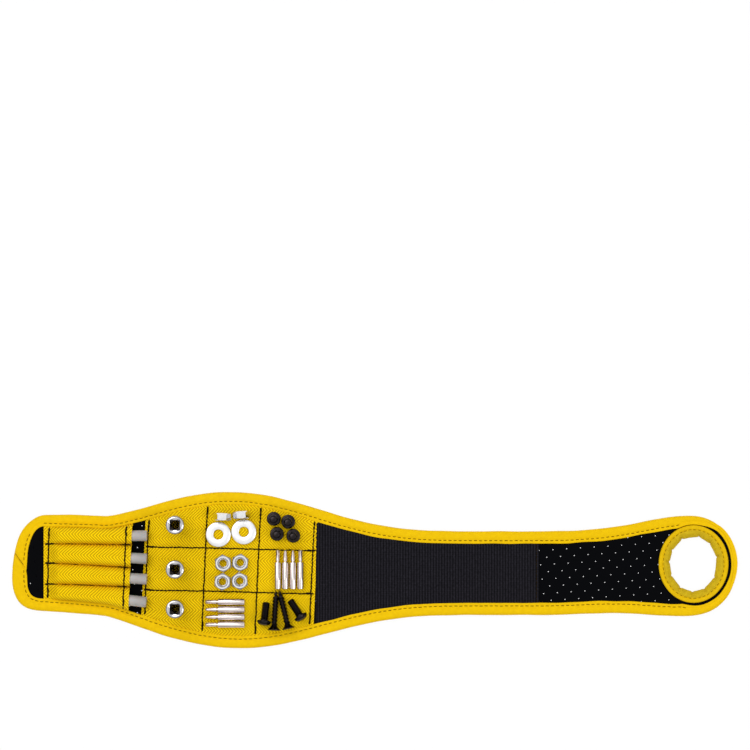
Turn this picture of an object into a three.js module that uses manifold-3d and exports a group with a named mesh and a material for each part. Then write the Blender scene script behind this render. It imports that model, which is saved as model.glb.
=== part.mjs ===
// A magnetic wristband with a thumb loop, laid flat, with the small hardware that its magnets hold.
// Millimetres. X runs along the band from the pocket end to the thumb loop, Y across it, and Z out of
// its front. Places along the band are counted from the pocket end's tip, and the last group moves the
// middle of the band to the origin.
import * as THREE from 'three';
import { mergeVertices } from 'three/addons/utils/BufferGeometryUtils.js';
import Module from 'manifold-3d';

const wasm = await Module();
wasm.setup();

// Plan of the band
const bandLength = 470.9;
const pocketHalfWidth = 30.9;
const pocketFlareWidth = 1.8;
const pocketTipLength = 25;
const pocketTipPower = 2.2;
const padCentre = 146;
const padHalfWidth = 50.7;
const padRise = 84;
const padRisePower = 1.3;
const padFall = 165;
const padFallPower = 3.8;
const strapHalfWidth = 27.2;
const thumbHalfWidth = 32.6;
const thumbTipLength = 32.1;
const thumbTipPower = 2.25;
const thumbRise = 90;
const thumbRisePower = 5;

// How the band lies: how far its middle line is off to the side at the pocket end, at the strap and at
// the thumb end, and the places between which each comes on
const pocketLay = 3.75;
const pocketLayPlaces = [100, 20];
const strapLay = -2.9;
const strapLayPlaces = [90, 240];
const thumbLay = 2;
const thumbLayPlaces = [345, 450];

// Heights of the layers
const clearance = 0.3;
const baseThickness = 3.2;
const flangeThickness = 1.4;
const flangeMiddle = 2;
const bindingThickness = 4.6;
const canvasThickness = 0.9;
const crownHeight = 2.5;
const loopTapeThickness = 1.5;
const hookTapeThickness = 1.4;

// Edge binding, and the binding of the thumb hole
const bindingWidth = 8;
const bindingFold = 1.5;
const bindingRound = 2.4;
const crescentWidth = 1.2;
const thumbHoleInset = 27.5;
const thumbHoleLift = 1.2;
const thumbHoleHalfLength = 14.75;
const thumbHoleHalfWidth = 17.25;
const ringHalfLength = 22.65;
const ringHalfWidth = 25.2;
const ringThickness = 5.2;
const pucker = 0.5;
const puckers = 9;

// Lengths of what is sewn on the front, from the pocket end on
const pocketStart = 21.6;
const pocketMouth = 78.3;
const gapStrip = 8;
const pocketBendShare = 0.7;
const panelHem = 2.1;
const columnWidths = [37.7, 34.5, 35.1];
const panelEndHem = 2.75;
const middleRowHeight = 28.2;
const tapeSections = 3;
const perforatedLength = 72.8;
const perforatedSections = 2;
const ringBendMargin = 3.75;
const bendGap = 0.3;

// Pocket channels and the sticks in them
const channelPitch = 13.2;
const channelRise = 8;
const seamHalfWidth = 0.3;
const pocketFabric = 0.6;
const archSteps = 8;
const stickRadius = 3.5;
const stickLength = 54.6;
const stickSlope = 0.042;
const stickFirstOffset = 6.6;
const stickSecondOffset = 17.95;
const stickSplay = 3.4;

// Magnets and hook tape
const magnetRadius = 7.5;
const magnetThickness = 1.5;
const hookTapeStart = 14;
const hookTapeLength = 56;
const hookTapeWidth = 40;
const hookTapeCorner = 8;

// Sockets
const socketHeight = 25;
const socketDriveRadius = 5.9;
const socketHexRadius = 4.8;
const socketHexHeight = 11.5;
const socketNeck = 0.8;
const socketChamfer = 0.6;
const driveSquare = 6.35;
const driveDepth = 9;
const driveCountersink = 1;
const socketBore = 2.3;
const socketHexFlats = 6;
const socketHexDepth = 11;

// Washers, nuts, bolts, screws and bits
const washerRadius = 8.1;
const washerHoleRadius = 3.3;
const washerThickness = 1.5;
const nutFlats = 10;
const nutThickness = 4.8;
const nutHoleRadius = 2.6;
const nutChamfer = 0.7;
const boltHeadRadius = 4.55;
const boltHeadHeight = 3;
const boltHeadRim = 0.6;
const boltShankRadius = 2.6;
const boltShankLength = 12;
const boltChamfer = 0.5;
const boltSocketFlats = 3;
const boltSocketDepth = 1.6;
const screwHeadRadius = 4;
const screwHeadHeight = 2.6;
const screwHeadRim = 0.5;
const screwShankRadius = 1.7;
const screwLength = 26.4;
const screwPointLength = 6;
const bitFlats = 4;
const bitLength = 25.4;
const bitShankLength = 17.8;
const bitTipRadius = 1.25;
const bitNeckLength = 1.6;
const bitTipEndRadius = 0.6;
const bitTipEndLength = 2;

const overrun = 5;
const slopeStep = 0.5;

// Levels that follow from the sizes above
const baseTop = baseThickness;
const sewnOn = baseTop + clearance;
const hemTop = sewnOn + canvasThickness;
const crownTop = sewnOn + crownHeight;
const seat = crownTop + clearance;
const slotBottom = flangeMiddle - flangeThickness / 2 - clearance;
const slotTop = flangeMiddle + flangeThickness / 2 + clearance;
const padStart = padCentre - padRise;
const padEnd = padCentre + padFall;
const thumbCentre = bandLength - thumbTipLength;
const thumbHoleX = bandLength - thumbHoleInset;
const panelStart = pocketMouth + gapStrip;
const columnLines = [panelStart + panelHem];
for (const width of columnWidths) columnLines.push(columnLines.at(-1) + width);
const panelEnd = columnLines.at(-1) + panelEndHem;
const rowLine = middleRowHeight / 2;

const colours = {
  binding: [0xf0be0a, 0.75, 0],
  canvas: [0xf2bc06, 0.85, 0],
  neoprene: [0x101114, 0.9, 0],
  tape: [0x17171a, 0.95, 0],
  magnet: [0x8a8c90, 0.35, 0.9],
  stick: [0xe9ebe8, 0.45, 0],
  chrome: [0xc9cbce, 0.18, 1],
  zinc: [0xb9bcc0, 0.32, 0.95],
  blackSteel: [0x1b1b1e, 0.5, 0.6],
};
const materials = {};
for (const [name, [color, roughness, metalness]] of Object.entries(colours)) {
  materials[name] = new THREE.MeshStandardMaterial({ name, color, roughness, metalness });
}

const band = new THREE.Group();
band.position.x = -bandLength / 2;

// Puts a named piece on the band; x is counted from the pocket end's tip.
function add(name, geometry, material, x = 0, y = 0, z = 0) {
  geometry.computeVertexNormals();
  const mesh = new THREE.Mesh(geometry, material);
  mesh.name = name;
  mesh.position.set(x, y, z);
  band.add(mesh);
  return mesh;
}

// Solids, cuts and joins

function solid(geometry) {
  const bare = geometry.index ? geometry.clone() : geometry;
  bare.deleteAttribute('normal');
  bare.deleteAttribute('uv');
  const merged = mergeVertices(bare);
  const vertProperties = new Float32Array(merged.attributes.position.array);
  const triVerts = new Uint32Array(merged.index.array);
  const mesh = new wasm.Mesh({ numProp: 3, vertProperties, triVerts });
  mesh.merge();
  return new wasm.Manifold(mesh);
}

function geometryOf(body) {
  const mesh = body.getMesh();
  const geometry = new THREE.BufferGeometry();
  geometry.setAttribute('position', new THREE.BufferAttribute(mesh.vertProperties.slice(), mesh.numProp));
  geometry.setIndex(new THREE.BufferAttribute(mesh.triVerts.slice(), 1));
  return geometry;
}

// Turns a closed mesh the right way out if its faces point inwards.
function facingOut(points, triangles) {
  let volume = 0;
  for (const [a, b, c] of triangles) {
    volume += points[a].dot(new THREE.Vector3().crossVectors(points[b], points[c]));
  }
  const order = volume > 0 ? triangles : triangles.map(([a, b, c]) => [a, c, b]);
  const geometry = new THREE.BufferGeometry().setFromPoints(points);
  geometry.setIndex(order.flat());
  return geometry;
}

// A closed loop of rings, each with the same number of points.
function closedSweep(rings) {
  const count = rings[0].length;
  const triangles = [];
  rings.forEach((ring, k) => {
    const next = (k + 1) % rings.length;
    ring.forEach((point, i) => {
      const j = (i + 1) % count;
      const [a, b] = [k * count + i, k * count + j];
      const [c, d] = [next * count + j, next * count + i];
      triangles.push([a, b, d], [b, c, d]);
    });
  });
  return facingOut(rings.flat(), triangles);
}

// A sheet between two grids of points of the same size, closed round its edge.
function slab(upper, lower) {
  const [rows, columns] = [upper.length, upper[0].length];
  const points = [...upper.flat(), ...lower.flat()];
  const at = (i, j) => i * columns + j;
  const under = rows * columns;
  const triangles = [];
  for (let i = 0; i < rows - 1; i++) {
    for (let j = 0; j < columns - 1; j++) {
      const [a, b, c, d] = [at(i, j), at(i + 1, j), at(i + 1, j + 1), at(i, j + 1)];
      triangles.push([a, b, c], [a, c, d]);
      triangles.push([under + a, under + c, under + b], [under + a, under + d, under + c]);
    }
  }
  const rim = [];
  for (let i = 0; i < rows - 1; i++) rim.push(at(i, 0));
  for (let j = 0; j < columns - 1; j++) rim.push(at(rows - 1, j));
  for (let i = rows - 1; i > 0; i--) rim.push(at(i, columns - 1));
  for (let j = columns - 1; j > 0; j--) rim.push(at(0, j));
  rim.forEach((a, k) => {
    const b = rim[(k + 1) % rim.length];
    triangles.push([a, under + a, under + b], [a, under + b, b]);
  });
  return facingOut(points, triangles);
}

// A flat plate with an outline, and holes if it has any, between two levels.
function plate(outline, bottom, top, holes = []) {
  const shape = new THREE.Shape(outline);
  shape.holes = holes.map((hole) => new THREE.Path(hole));
  const geometry = new THREE.ExtrudeGeometry(shape, { depth: top - bottom, bevelEnabled: false });
  return geometry.translate(0, 0, bottom);
}

// A block that takes the stretch of the band between two places.
function stretch(from, to) {
  const length = to - from;
  const block = new THREE.BoxGeometry(length, 2 * (padHalfWidth + overrun), 2 * (seat + overrun));
  return solid(block.translate(from + length / 2, 0, 0));
}

// A turned body about Z from its profile of [radius, height] points.
function turned(profile, segments) {
  return new THREE.LatheGeometry(profile.map(([r, z]) => new THREE.Vector2(r, z)), segments)
    .rotateX(Math.PI / 2);
}

// A prism about Z, with a flat side facing +X, between two levels.
function prism(sides, flats, bottom, top) {
  const radius = flats / 2 / Math.cos(Math.PI / sides);
  const height = top - bottom;
  return new THREE.CylinderGeometry(radius, radius, height, sides)
    .rotateX(Math.PI / 2)
    .rotateZ(Math.PI / 2 - Math.PI / sides)
    .translate(0, 0, bottom + height / 2);
}

// Places from one value to another in even steps, without the first.
function steps(from, to, count) {
  return Array.from({ length: count }, (_, k) => from + ((to - from) * (k + 1)) / count);
}

// Plan of the band

// How much of a shoulder is left at a distance from its top: 1 at the top and 0 past its length.
function shoulder(distance, length, power) {
  const share = Math.min(distance / length, 1);
  return Math.cos((share * Math.PI) / 2) ** power;
}

function roundedEnd(share, power) {
  return (1 - Math.min(share, 1) ** power) ** (1 / power);
}

function halfWidthAt(x) {
  const pocket = pocketHalfWidth + (pocketFlareWidth * x) / padStart;
  const beyond = Math.max(thumbCentre - x, 0);
  const strap = strapHalfWidth
    + (thumbHalfWidth - strapHalfWidth) * shoulder(beyond, thumbRise, thumbRisePower);
  if (x < pocketTipLength) {
    return pocket * roundedEnd((pocketTipLength - x) / pocketTipLength, pocketTipPower);
  }
  if (x < padCentre) {
    return pocket + (padHalfWidth - pocket) * shoulder(padCentre - x, padRise, padRisePower);
  }
  if (x < thumbCentre) {
    return strap + (padHalfWidth - strap) * shoulder(x - padCentre, padFall, padFallPower);
  }
  return strap * roundedEnd((x - thumbCentre) / thumbTipLength, thumbTipPower);
}

// A smooth change from 0 to 1 between two places.
function fade(x, [from, to]) {
  const share = Math.min(Math.max((x - from) / (to - from), 0), 1);
  return share * share * (3 - 2 * share);
}

// How far the band's middle line lies to the side. Everything sewn to the band follows it.
function lay(x) {
  return pocketLay * fade(x, pocketLayPlaces) + strapLay * fade(x, strapLayPlaces)
    + (thumbLay - strapLay) * fade(x, thumbLayPlaces);
}

function laid(point) {
  point.y += lay(point.x);
  return point;
}

// The upper half of the outline, tip to tip.
function outlineStations() {
  const quarter = Math.PI / 2;
  const tip = steps(0, quarter, 8).map((angle) => pocketTipLength * (1 - Math.cos(angle)));
  const pocket = steps(pocketTipLength, padStart, 4);
  const pad = steps(padStart, padEnd, 26);
  const strap = steps(padEnd, thumbCentre - thumbRise, 3);
  const thumb = steps(thumbCentre - thumbRise, thumbCentre, 8);
  const end = steps(0, quarter, 10).map((angle) => thumbCentre + thumbTipLength * Math.sin(angle));
  return [0, ...tip, ...pocket, ...pad, ...strap, ...thumb, ...end];
}

const thumbHoleMiddle = laid(new THREE.Vector2(thumbHoleX, thumbHoleLift));

// Distance from a point inwards to the thumb ring's outer edge, or Infinity if it isn't that way.
function roomToRing(point, inward) {
  const scale = new THREE.Vector2(1 / ringHalfLength, 1 / ringHalfWidth);
  const start = point.clone().sub(thumbHoleMiddle).multiply(scale);
  const way = inward.clone().multiply(scale);
  const [a, b, c] = [way.lengthSq(), start.dot(way), start.lengthSq() - 1];
  const root = b * b - a * c;
  return root < 0 ? Infinity : (-b - Math.sqrt(root)) / a;
}

// The whole outline, each point with its inward direction and the width of the binding there.
function traceOutline() {
  const upper = outlineStations().map((x) => new THREE.Vector2(x, halfWidthAt(x)));
  upper[0].y = 0;
  upper.at(-1).y = 0;
  const lower = upper.slice(1, -1).reverse().map((p) => new THREE.Vector2(p.x, -p.y));
  const points = [...upper, ...lower].map(laid);
  return points.map((point, k) => {
    const before = point.clone().sub(points.at(k - 1)).normalize();
    const after = points[(k + 1) % points.length].clone().sub(point).normalize();
    const along = before.add(after).normalize();
    const inward = new THREE.Vector2(along.y, -along.x);
    const width = Math.min(bindingWidth, roomToRing(point, inward) - crescentWidth);
    return { point, inward, width };
  });
}

const outline = traceOutline();

function insetOutline(distance) {
  return outline.map((o) => o.point.clone().addScaledVector(o.inward, distance(o)));
}

// Half the width between the bindings, less a clearance, at a place along the band.
function innerHalfWidthAt(x) {
  const rise = halfWidthAt(x + slopeStep) - halfWidthAt(x - slopeStep);
  const turn = lay(x + slopeStep) - lay(x - slopeStep);
  const slant = Math.hypot(1, (Math.abs(rise) + Math.abs(turn)) / (2 * slopeStep));
  return halfWidthAt(x) - (bindingWidth + clearance) * slant;
}

function ellipse(halfLength, halfWidth, segments) {
  return Array.from({ length: segments }, (_, k) => {
    const angle = (2 * Math.PI * k) / segments;
    const off = new THREE.Vector2(halfLength * Math.cos(angle), halfWidth * Math.sin(angle));
    return off.add(thumbHoleMiddle);
  });
}

// Neoprene base, in one section between each two bends

function sectionEnds() {
  const bends = [pocketMouth + gapStrip * pocketBendShare, columnLines[1], columnLines[2]];
  const tapeFrom = panelEnd + bendGap / 2;
  const thumbBend = thumbHoleX - ringHalfLength - ringBendMargin;
  const tapeTo = thumbBend - perforatedLength;
  bends.push(tapeFrom, ...steps(tapeFrom, tapeTo, tapeSections));
  bends.push(...steps(tapeTo, thumbBend, perforatedSections));
  return [-overrun, ...bends, bandLength + overrun];
}

const ends = sectionEnds();

function hookTapeOutline(margin) {
  const [from, to] = [hookTapeStart - margin, hookTapeStart + hookTapeLength + margin];
  const corner = hookTapeCorner + margin;
  const reach = hookTapeWidth / 2 + margin - corner;
  const quarter = Math.PI / 2;
  const shape = new THREE.Shape();
  shape.absarc(from + corner, reach, corner, 2 * quarter, quarter, true);
  shape.absarc(to - corner, reach, corner, quarter, 0, true);
  shape.absarc(to - corner, -reach, corner, 0, -quarter, true);
  shape.absarc(from + corner, -reach, corner, -quarter, -2 * quarter, true);
  const middle = new THREE.Vector2(0, lay((from + to) / 2));
  return shape.getPoints(4).map((point) => point.add(middle));
}

function addBase() {
  const ringRoom = ellipse(ringHalfLength + clearance, ringHalfWidth + clearance, 48);
  const foldRoom = bindingFold + clearance;
  const ringFold = ellipse(thumbHoleHalfLength + foldRoom, thumbHoleHalfWidth + foldRoom, 36);
  const body = plate(insetOutline((o) => o.width + clearance), 0, baseTop, [ringRoom]);
  const [flangeBottom, flangeTop] = [slotBottom + clearance, slotTop - clearance];
  const flange = plate(insetOutline(() => foldRoom), flangeBottom, flangeTop, [ringFold]);
  const recess = plate(hookTapeOutline(clearance), -overrun, hookTapeThickness + clearance);
  const whole = solid(body).add(solid(flange)).subtract(solid(recess));
  const names = ['pocket_end', 'cells_left', 'cells_middle', 'cells_right'];
  for (let k = 1; k <= tapeSections + perforatedSections; k++) names.push(`strap_${k}`);
  names.push('thumb_end');
  names.forEach((name, k) => {
    const piece = whole.intersect(stretch(ends[k] + bendGap / 2, ends[k + 1] - bendGap / 2));
    add(`base_${name}`, geometryOf(piece), materials.neoprene);
  });
}

// Edge binding: a folded tape whose slot holds the base's flange

function bindingSection(width) {
  const lip = bindingThickness - bindingFold / 4;
  const [low, high] = [bindingFold / 4, bindingThickness - bindingFold / 2];
  return [
    [width, slotTop], [width, lip], [bindingRound, bindingThickness],
    [bindingRound / 4, high], [0, flangeMiddle], [bindingRound / 4, low], [bindingRound / 2, 0],
    [width, 0], [width, slotBottom], [bindingFold, slotBottom], [bindingFold, slotTop],
  ];
}

function addEdgeBinding() {
  const rings = outline.map((o) => bindingSection(o.width).map(([inset, z]) => {
    const p = o.point.clone().addScaledVector(o.inward, inset);
    return new THREE.Vector3(p.x, p.y, z);
  }));
  add('edge_binding', closedSweep(rings), materials.binding);
}

// Thumb ring: binding that is puckered round the hole, with a flat flange outside its stitch line

function ringSection(width) {
  const flange = width / 3;
  const crease = ringThickness - pucker;
  return [
    [width, slotTop], [width, crease], [width - flange / 2, ringThickness], [width - flange, crease],
    [width / 3, ringThickness], [bindingFold / 2, crease - pucker], [0, flangeMiddle],
    [bindingFold / 2, slotBottom / 2], [bindingFold, 0],
    [width, 0], [width, slotBottom], [bindingFold, slotBottom], [bindingFold, slotTop],
  ];
}

function addThumbRing() {
  const stations = puckers * 6;
  const outer = ellipse(ringHalfLength, ringHalfWidth, stations);
  const hole = ellipse(thumbHoleHalfLength, thumbHoleHalfWidth, stations);
  const rings = outer.map((edge, k) => {
    const gather = Math.abs(Math.cos((Math.PI * puckers * k) / stations));
    const outward = edge.clone().sub(hole[k]);
    const width = outward.length();
    outward.normalize();
    return ringSection(width).map(([distance, z]) => {
      const drawn = distance < bindingFold ? pucker * gather : 0;
      const p = hole[k].clone().addScaledVector(outward, distance + drawn);
      return new THREE.Vector3(p.x, p.y, z);
    });
  });
  add('thumb_ring', closedSweep(rings), materials.binding);
}

// Magnet panel: canvas that is raised over each magnet and drawn down at its stitch lines

function cellOf(column, row) {
  const [left, right] = [columnLines[column], columnLines[column + 1]];
  const x = (left + right) / 2;
  const edge = innerHalfWidthAt(x);
  const width = right - left;
  if (row === 1) return { x, y: 0, width, height: middleRowHeight };
  const y = ((rowLine + edge) / 2) * (1 - row);
  return { x, y, width, height: edge - rowLine };
}

function crown(from, to, value) {
  const share = (2 * (value - from)) / (to - from) - 1;
  return 1 - share ** 4;
}

function canvasTop(x, y) {
  const [start, end] = [columnLines[0], columnLines.at(-1)];
  if (x <= start || x >= end) return hemTop;
  const column = columnLines.findIndex((line) => line >= x) - 1;
  const along = crown(columnLines[column], columnLines[column + 1], x);
  const reach = Math.abs(y);
  const edge = innerHalfWidthAt(x);
  const across = reach < rowLine ? crown(-rowLine, rowLine, y) : crown(rowLine, edge, reach);
  return hemTop + (crownTop - hemTop) * along * Math.max(across, 0);
}

function addCanvasColumn(name, column) {
  const first = column === 0;
  const last = column === columnWidths.length - 1;
  const from = first ? panelStart : columnLines[column] + bendGap / 2;
  const to = last ? panelEnd : columnLines[column + 1] - bendGap / 2;
  const xs = [from];
  if (first) xs.push(columnLines[0]);
  xs.push(...steps(xs.at(-1), last ? columnLines.at(-1) : to, 8));
  if (last) xs.push(panelEnd);
  const rowShares = [-1, ...steps(-1, 1, 6)];
  const upper = xs.map((x) => {
    const edge = innerHalfWidthAt(x);
    const outer = rowShares.slice(0, -1).map((s) => rowLine + ((edge - rowLine) * (s + 1)) / 2);
    const middle = rowShares.map((s) => rowLine * s);
    const ys = [-edge, ...outer.toReversed().map((y) => -y), ...middle.slice(1, -1), ...outer, edge];
    return ys.map((y) => laid(new THREE.Vector3(x, y, canvasTop(x, y))));
  });
  const lower = upper.map((line) => line.map((p) => new THREE.Vector3(p.x, p.y, sewnOn)));
  let panel = solid(slab(upper, lower));
  for (let row = 0; row < 3; row++) {
    const cell = laid(cellOf(column, row));
    const room = magnetRadius + clearance;
    const top = sewnOn + magnetThickness + clearance;
    const hollow = turned([[0, -overrun], [room, -overrun], [room, top], [0, top]], 20);
    panel = panel.subtract(solid(hollow.translate(cell.x, cell.y, 0)));
    const disc = new THREE.CylinderGeometry(magnetRadius, magnetRadius, magnetThickness, 20);
    disc.rotateX(Math.PI / 2);
    const name = `magnet_${column + 1}_${row + 1}`;
    add(name, disc, materials.magnet, cell.x, cell.y, sewnOn + magnetThickness / 2);
  }
  add(`canvas_${name}`, geometryOf(panel), materials.canvas);
}

// Loop tape and hook tape

function addTapes() {
  const between = insetOutline((o) => o.width + clearance);
  const strip = solid(plate(between, sewnOn, sewnOn + loopTapeThickness));
  const first = ends.length - 2 - tapeSections - perforatedSections;
  for (let k = 0; k < tapeSections; k++) {
    const [from, to] = [ends[first + k], ends[first + k + 1]];
    const piece = strip.intersect(stretch(from + bendGap / 2, to - bendGap / 2));
    add(`loop_tape_${k + 1}`, geometryOf(piece), materials.tape);
  }
  add('hook_tape', plate(hookTapeOutline(0), 0, hookTapeThickness), materials.tape);
}

// Pocket panel and sticks

const stickStart = pocketStart + channelRise + bindingFold;
const sticks = [stickSecondOffset, stickFirstOffset, -stickFirstOffset, -stickSecondOffset];
const stickAxisZ = sewnOn + clearance + stickRadius;

// Middle of a stick's channel at a place along the band, as [y, z].
function channelAxis(offset, x) {
  const along = (x - stickStart) / stickLength;
  const splay = Math.abs(offset) > stickFirstOffset ? stickSplay * along * Math.sign(offset) : 0;
  const side = THREE.MathUtils.lerp(lay(stickStart), lay(stickStart + stickLength), along);
  return [offset + splay + side, stickAxisZ + (x - stickStart) * stickSlope];
}

// One channel in cross-section: straight up from a seam, round over the stick and down to the next.
function channelArch(y, z, radius, left, right, lift, foot) {
  const touch = (seam) => {
    const [run, drop] = [Math.abs(seam - y), z - foot];
    return Math.acos(Math.min(radius / Math.hypot(run, drop), 1)) - Math.atan2(drop, run);
  };
  const [start, end] = [touch(left), Math.PI - touch(right)];
  return [start, ...steps(start, end, archSteps)].map((angle) => {
    const height = z + radius * Math.sin(angle) - foot;
    return [y + radius * Math.cos(angle), foot + height * lift];
  });
}

function pocketLine(x, radius, foot, seam) {
  const share = Math.min(Math.max((x - pocketStart - bindingFold) / channelRise, 0), 1);
  const lift = share * share * (3 - 2 * share);
  const edge = innerHalfWidthAt(x);
  const middle = channelAxis(0, Math.max(x, stickStart))[0];
  const seams = [lay(x) + edge, channelPitch + middle, middle, middle - channelPitch, lay(x) - edge];
  const line = [[seams[0], foot]];
  sticks.forEach((offset, k) => {
    const [y, z] = channelAxis(offset, Math.max(x, stickStart));
    const [left, right] = [seams[k] - seam, seams[k + 1] + seam];
    line.push([left, foot], ...channelArch(y, z, radius, left, right, lift, foot), [right, foot]);
  });
  line.push([seams.at(-1), foot]);
  return line.map(([y, z]) => new THREE.Vector3(x, y, z));
}

function addPocket() {
  const xs = [pocketStart, pocketStart + bindingFold];
  xs.push(...steps(xs.at(-1), xs.at(-1) + channelRise, 4));
  xs.push(...steps(xs.at(-1), pocketMouth, 3));
  const inside = stickRadius + clearance;
  const lower = xs.map((x) => pocketLine(x, inside, sewnOn, seamHalfWidth));
  const outside = inside + pocketFabric;
  const upper = xs.map((x) => pocketLine(x, outside, sewnOn + pocketFabric, seamHalfWidth / 2));
  add('pocket_panel', slab(upper, lower), materials.canvas);
}

function addSticks() {
  sticks.forEach((offset, k) => {
    const stick = turned([
      [0, 0], [stickRadius, 0], [stickRadius, stickLength], [0, stickLength],
    ], 16);
    const [y, z] = channelAxis(offset, stickStart);
    const [yEnd, zEnd] = channelAxis(offset, stickStart + stickLength);
    const mesh = add(`stick_${k + 1}`, stick, materials.stick, stickStart, y, z);
    aim(mesh, new THREE.Vector3(stickLength, yEnd - y, zEnd - z));
  });
}

// Hardware on the magnets

// A spot in a cell, as shares of the cell's size from its middle.
function spot(column, row, acrossShare, upShare) {
  const cell = cellOf(column, row);
  return [cell.x + acrossShare * cell.width, cell.y + upShare * cell.height];
}

// A spot in an outer cell, at a distance outwards from the line between it and the middle row.
function beyondRowLine(column, row, acrossShare, distance) {
  const cell = cellOf(column, row);
  return [cell.x + acrossShare * cell.width, (rowLine + distance) * (1 - row)];
}

function socket() {
  const [r, hex] = [socketDriveRadius, socketHexRadius];
  const outside = turned([
    [0, 0], [hex - socketChamfer, 0], [hex, socketChamfer], [hex, socketHexHeight],
    [r, socketHexHeight + socketNeck], [r, socketHeight - socketChamfer],
    [r - socketChamfer, socketHeight], [0, socketHeight],
  ], 20);
  const square = prism(4, driveSquare, socketHeight - driveDepth, socketHeight + overrun);
  const hexagon = prism(6, socketHexFlats, -overrun, socketHexDepth);
  const mouth = driveSquare / 2 + driveCountersink;
  const sink = turned([
    [0, socketHeight - mouth], [mouth + overrun, socketHeight + overrun], [0, socketHeight + overrun],
  ], 16);
  const bore = turned([
    [0, -overrun], [socketBore, -overrun], [socketBore, socketHeight], [0, socketHeight],
  ], 8);
  const cuts = [square, hexagon, sink, bore];
  return geometryOf(cuts.reduce((body, cut) => body.subtract(solid(cut)), solid(outside)));
}

function washer() {
  const [inner, outer] = [washerHoleRadius, washerRadius];
  const half = washerThickness / 2;
  return turned([[inner, -half], [outer, -half], [outer, half], [inner, half], [inner, -half]], 24);
}

function nut() {
  const half = nutThickness / 2;
  const face = nutFlats / 2;
  const corner = face / Math.cos(Math.PI / 6);
  const cone = turned([
    [0, -half], [face, -half], [corner + nutChamfer, nutChamfer - half],
    [corner + nutChamfer, half - nutChamfer], [face, half], [0, half],
  ], 18);
  const past = half + overrun;
  const hole = turned([[0, -past], [nutHoleRadius, -past], [nutHoleRadius, past], [0, past]], 12);
  const body = solid(prism(6, nutFlats, -half, half)).intersect(solid(cone));
  return geometryOf(body.subtract(solid(hole)));
}

// A button head bolt about Z, its head's top at 0 and its shank pointing up.
function bolt() {
  const [head, shank] = [boltHeadRadius, boltShankRadius];
  const end = boltHeadHeight + boltShankLength;
  const body = turned([
    [0, 0], [head / 2, 0], [head * Math.cos(Math.PI / 6), boltHeadHeight / 3],
    [head, boltHeadHeight - boltHeadRim], [head, boltHeadHeight], [shank, boltHeadHeight],
    [shank, end - boltChamfer], [shank - boltChamfer, end], [0, end],
  ], 14);
  return geometryOf(solid(body).subtract(solid(prism(6, boltSocketFlats, -overrun, boltSocketDepth))));
}

// A bugle head screw about Z, its head's top at 0 and its point up.
function screw() {
  const [head, shank] = [screwHeadRadius, screwShankRadius];
  return turned([
    [0, 0], [head, 0], [head, screwHeadRim], [shank, screwHeadHeight],
    [shank, screwLength - screwPointLength], [0, screwLength],
  ], 14);
}

// A precision bit about Z, its hexagon shank starting at 0 and its tip up.
function bit() {
  const shank = solid(prism(6, bitFlats, 0, bitShankLength));
  const [neck, tip] = [bitShankLength + bitNeckLength, bitLength - bitTipEndLength];
  const nose = turned([
    [0, bitShankLength - bitNeckLength], [bitFlats / 2 - clearance, bitShankLength - bitNeckLength],
    [bitFlats / 2 - clearance, bitShankLength], [bitTipRadius, neck], [bitTipRadius, tip],
    [bitTipEndRadius, bitLength], [0, bitLength],
  ], 12);
  return geometryOf(shank.add(solid(nose)));
}

// Points a piece's own Z along a direction, with its own X uppermost.
function aim(mesh, way) {
  const z = way.clone().normalize();
  const y = new THREE.Vector3().crossVectors(z, new THREE.Vector3(0, 0, 1)).normalize();
  const x = new THREE.Vector3().crossVectors(y, z);
  mesh.quaternion.setFromRotationMatrix(new THREE.Matrix4().makeBasis(x, y, z));
}

function level(degrees) {
  const heading = THREE.MathUtils.degToRad(degrees);
  return new THREE.Vector3(Math.cos(heading), Math.sin(heading), 0);
}

// Lays a headed piece down with its head's top at its place, pointing at an angle in plan. Its head's
// rim and the end of its shank both rest on the plane of the crowns.
function layDown(mesh, head, rim, shank, shankEnd, degrees) {
  const dip = Math.asin((head - shank) / (shankEnd - rim));
  const way = level(degrees).multiplyScalar(Math.cos(dip));
  way.z = -Math.sin(dip);
  aim(mesh, way);
  mesh.position.z = seat + head * Math.cos(dip) + rim * Math.sin(dip);
}

function addSockets() {
  const socketShares = [[0.02, 0.17], [0.02, 0.027], [0.02, 0.033]];
  socketShares.forEach(([across, up], row) => {
    add(`socket_${row + 1}`, socket(), materials.chrome, ...spot(0, row, across, up), seat);
  });
}

// Two washers side by side just over a row line, each with a nut on edge over it.
function addWashersAndEdgeNuts() {
  const pairShares = [[-1, 0.023, 0.328, 0.24, 88], [1, 0.232, -0.18, 0.15, 94]];
  pairShares.forEach(([side, lift, aside, gap, turn], k) => {
    const [middle, y] = beyondRowLine(1, 0, 0, washerRadius * (1 + lift));
    const x = middle + side * (washerRadius + clearance / 2);
    const washerZ = seat + washerThickness / 2;
    add(`washer_${k + 1}`, washer(), materials.zinc, x, y, washerZ);
    const nutY = y + washerRadius + nutThickness * (gap + 0.5);
    const nutX = x + aside * washerRadius;
    const mesh = add(`nut_edge_${k + 1}`, nut(), materials.zinc, nutX, nutY, seat + nutFlats / 2);
    aim(mesh, level(turn));
  });
}

function addFlatNuts() {
  const corners = nutFlats / Math.cos(Math.PI / 6);
  const placeShares = [[-0.537, 0.494, 4], [0.574, 0.538, -5], [-0.578, -0.537, -3], [0.543, -0.495, 5]];
  const [x, y] = spot(1, 1, 0.007, -0.067);
  placeShares.forEach(([across, up, turn], k) => {
    const place = [x + across * nutFlats, y + up * corners, seat + nutThickness / 2];
    const mesh = add(`nut_flat_${k + 1}`, nut(), materials.zinc, ...place);
    mesh.rotation.z = THREE.MathUtils.degToRad(turn);
  });
}

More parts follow.
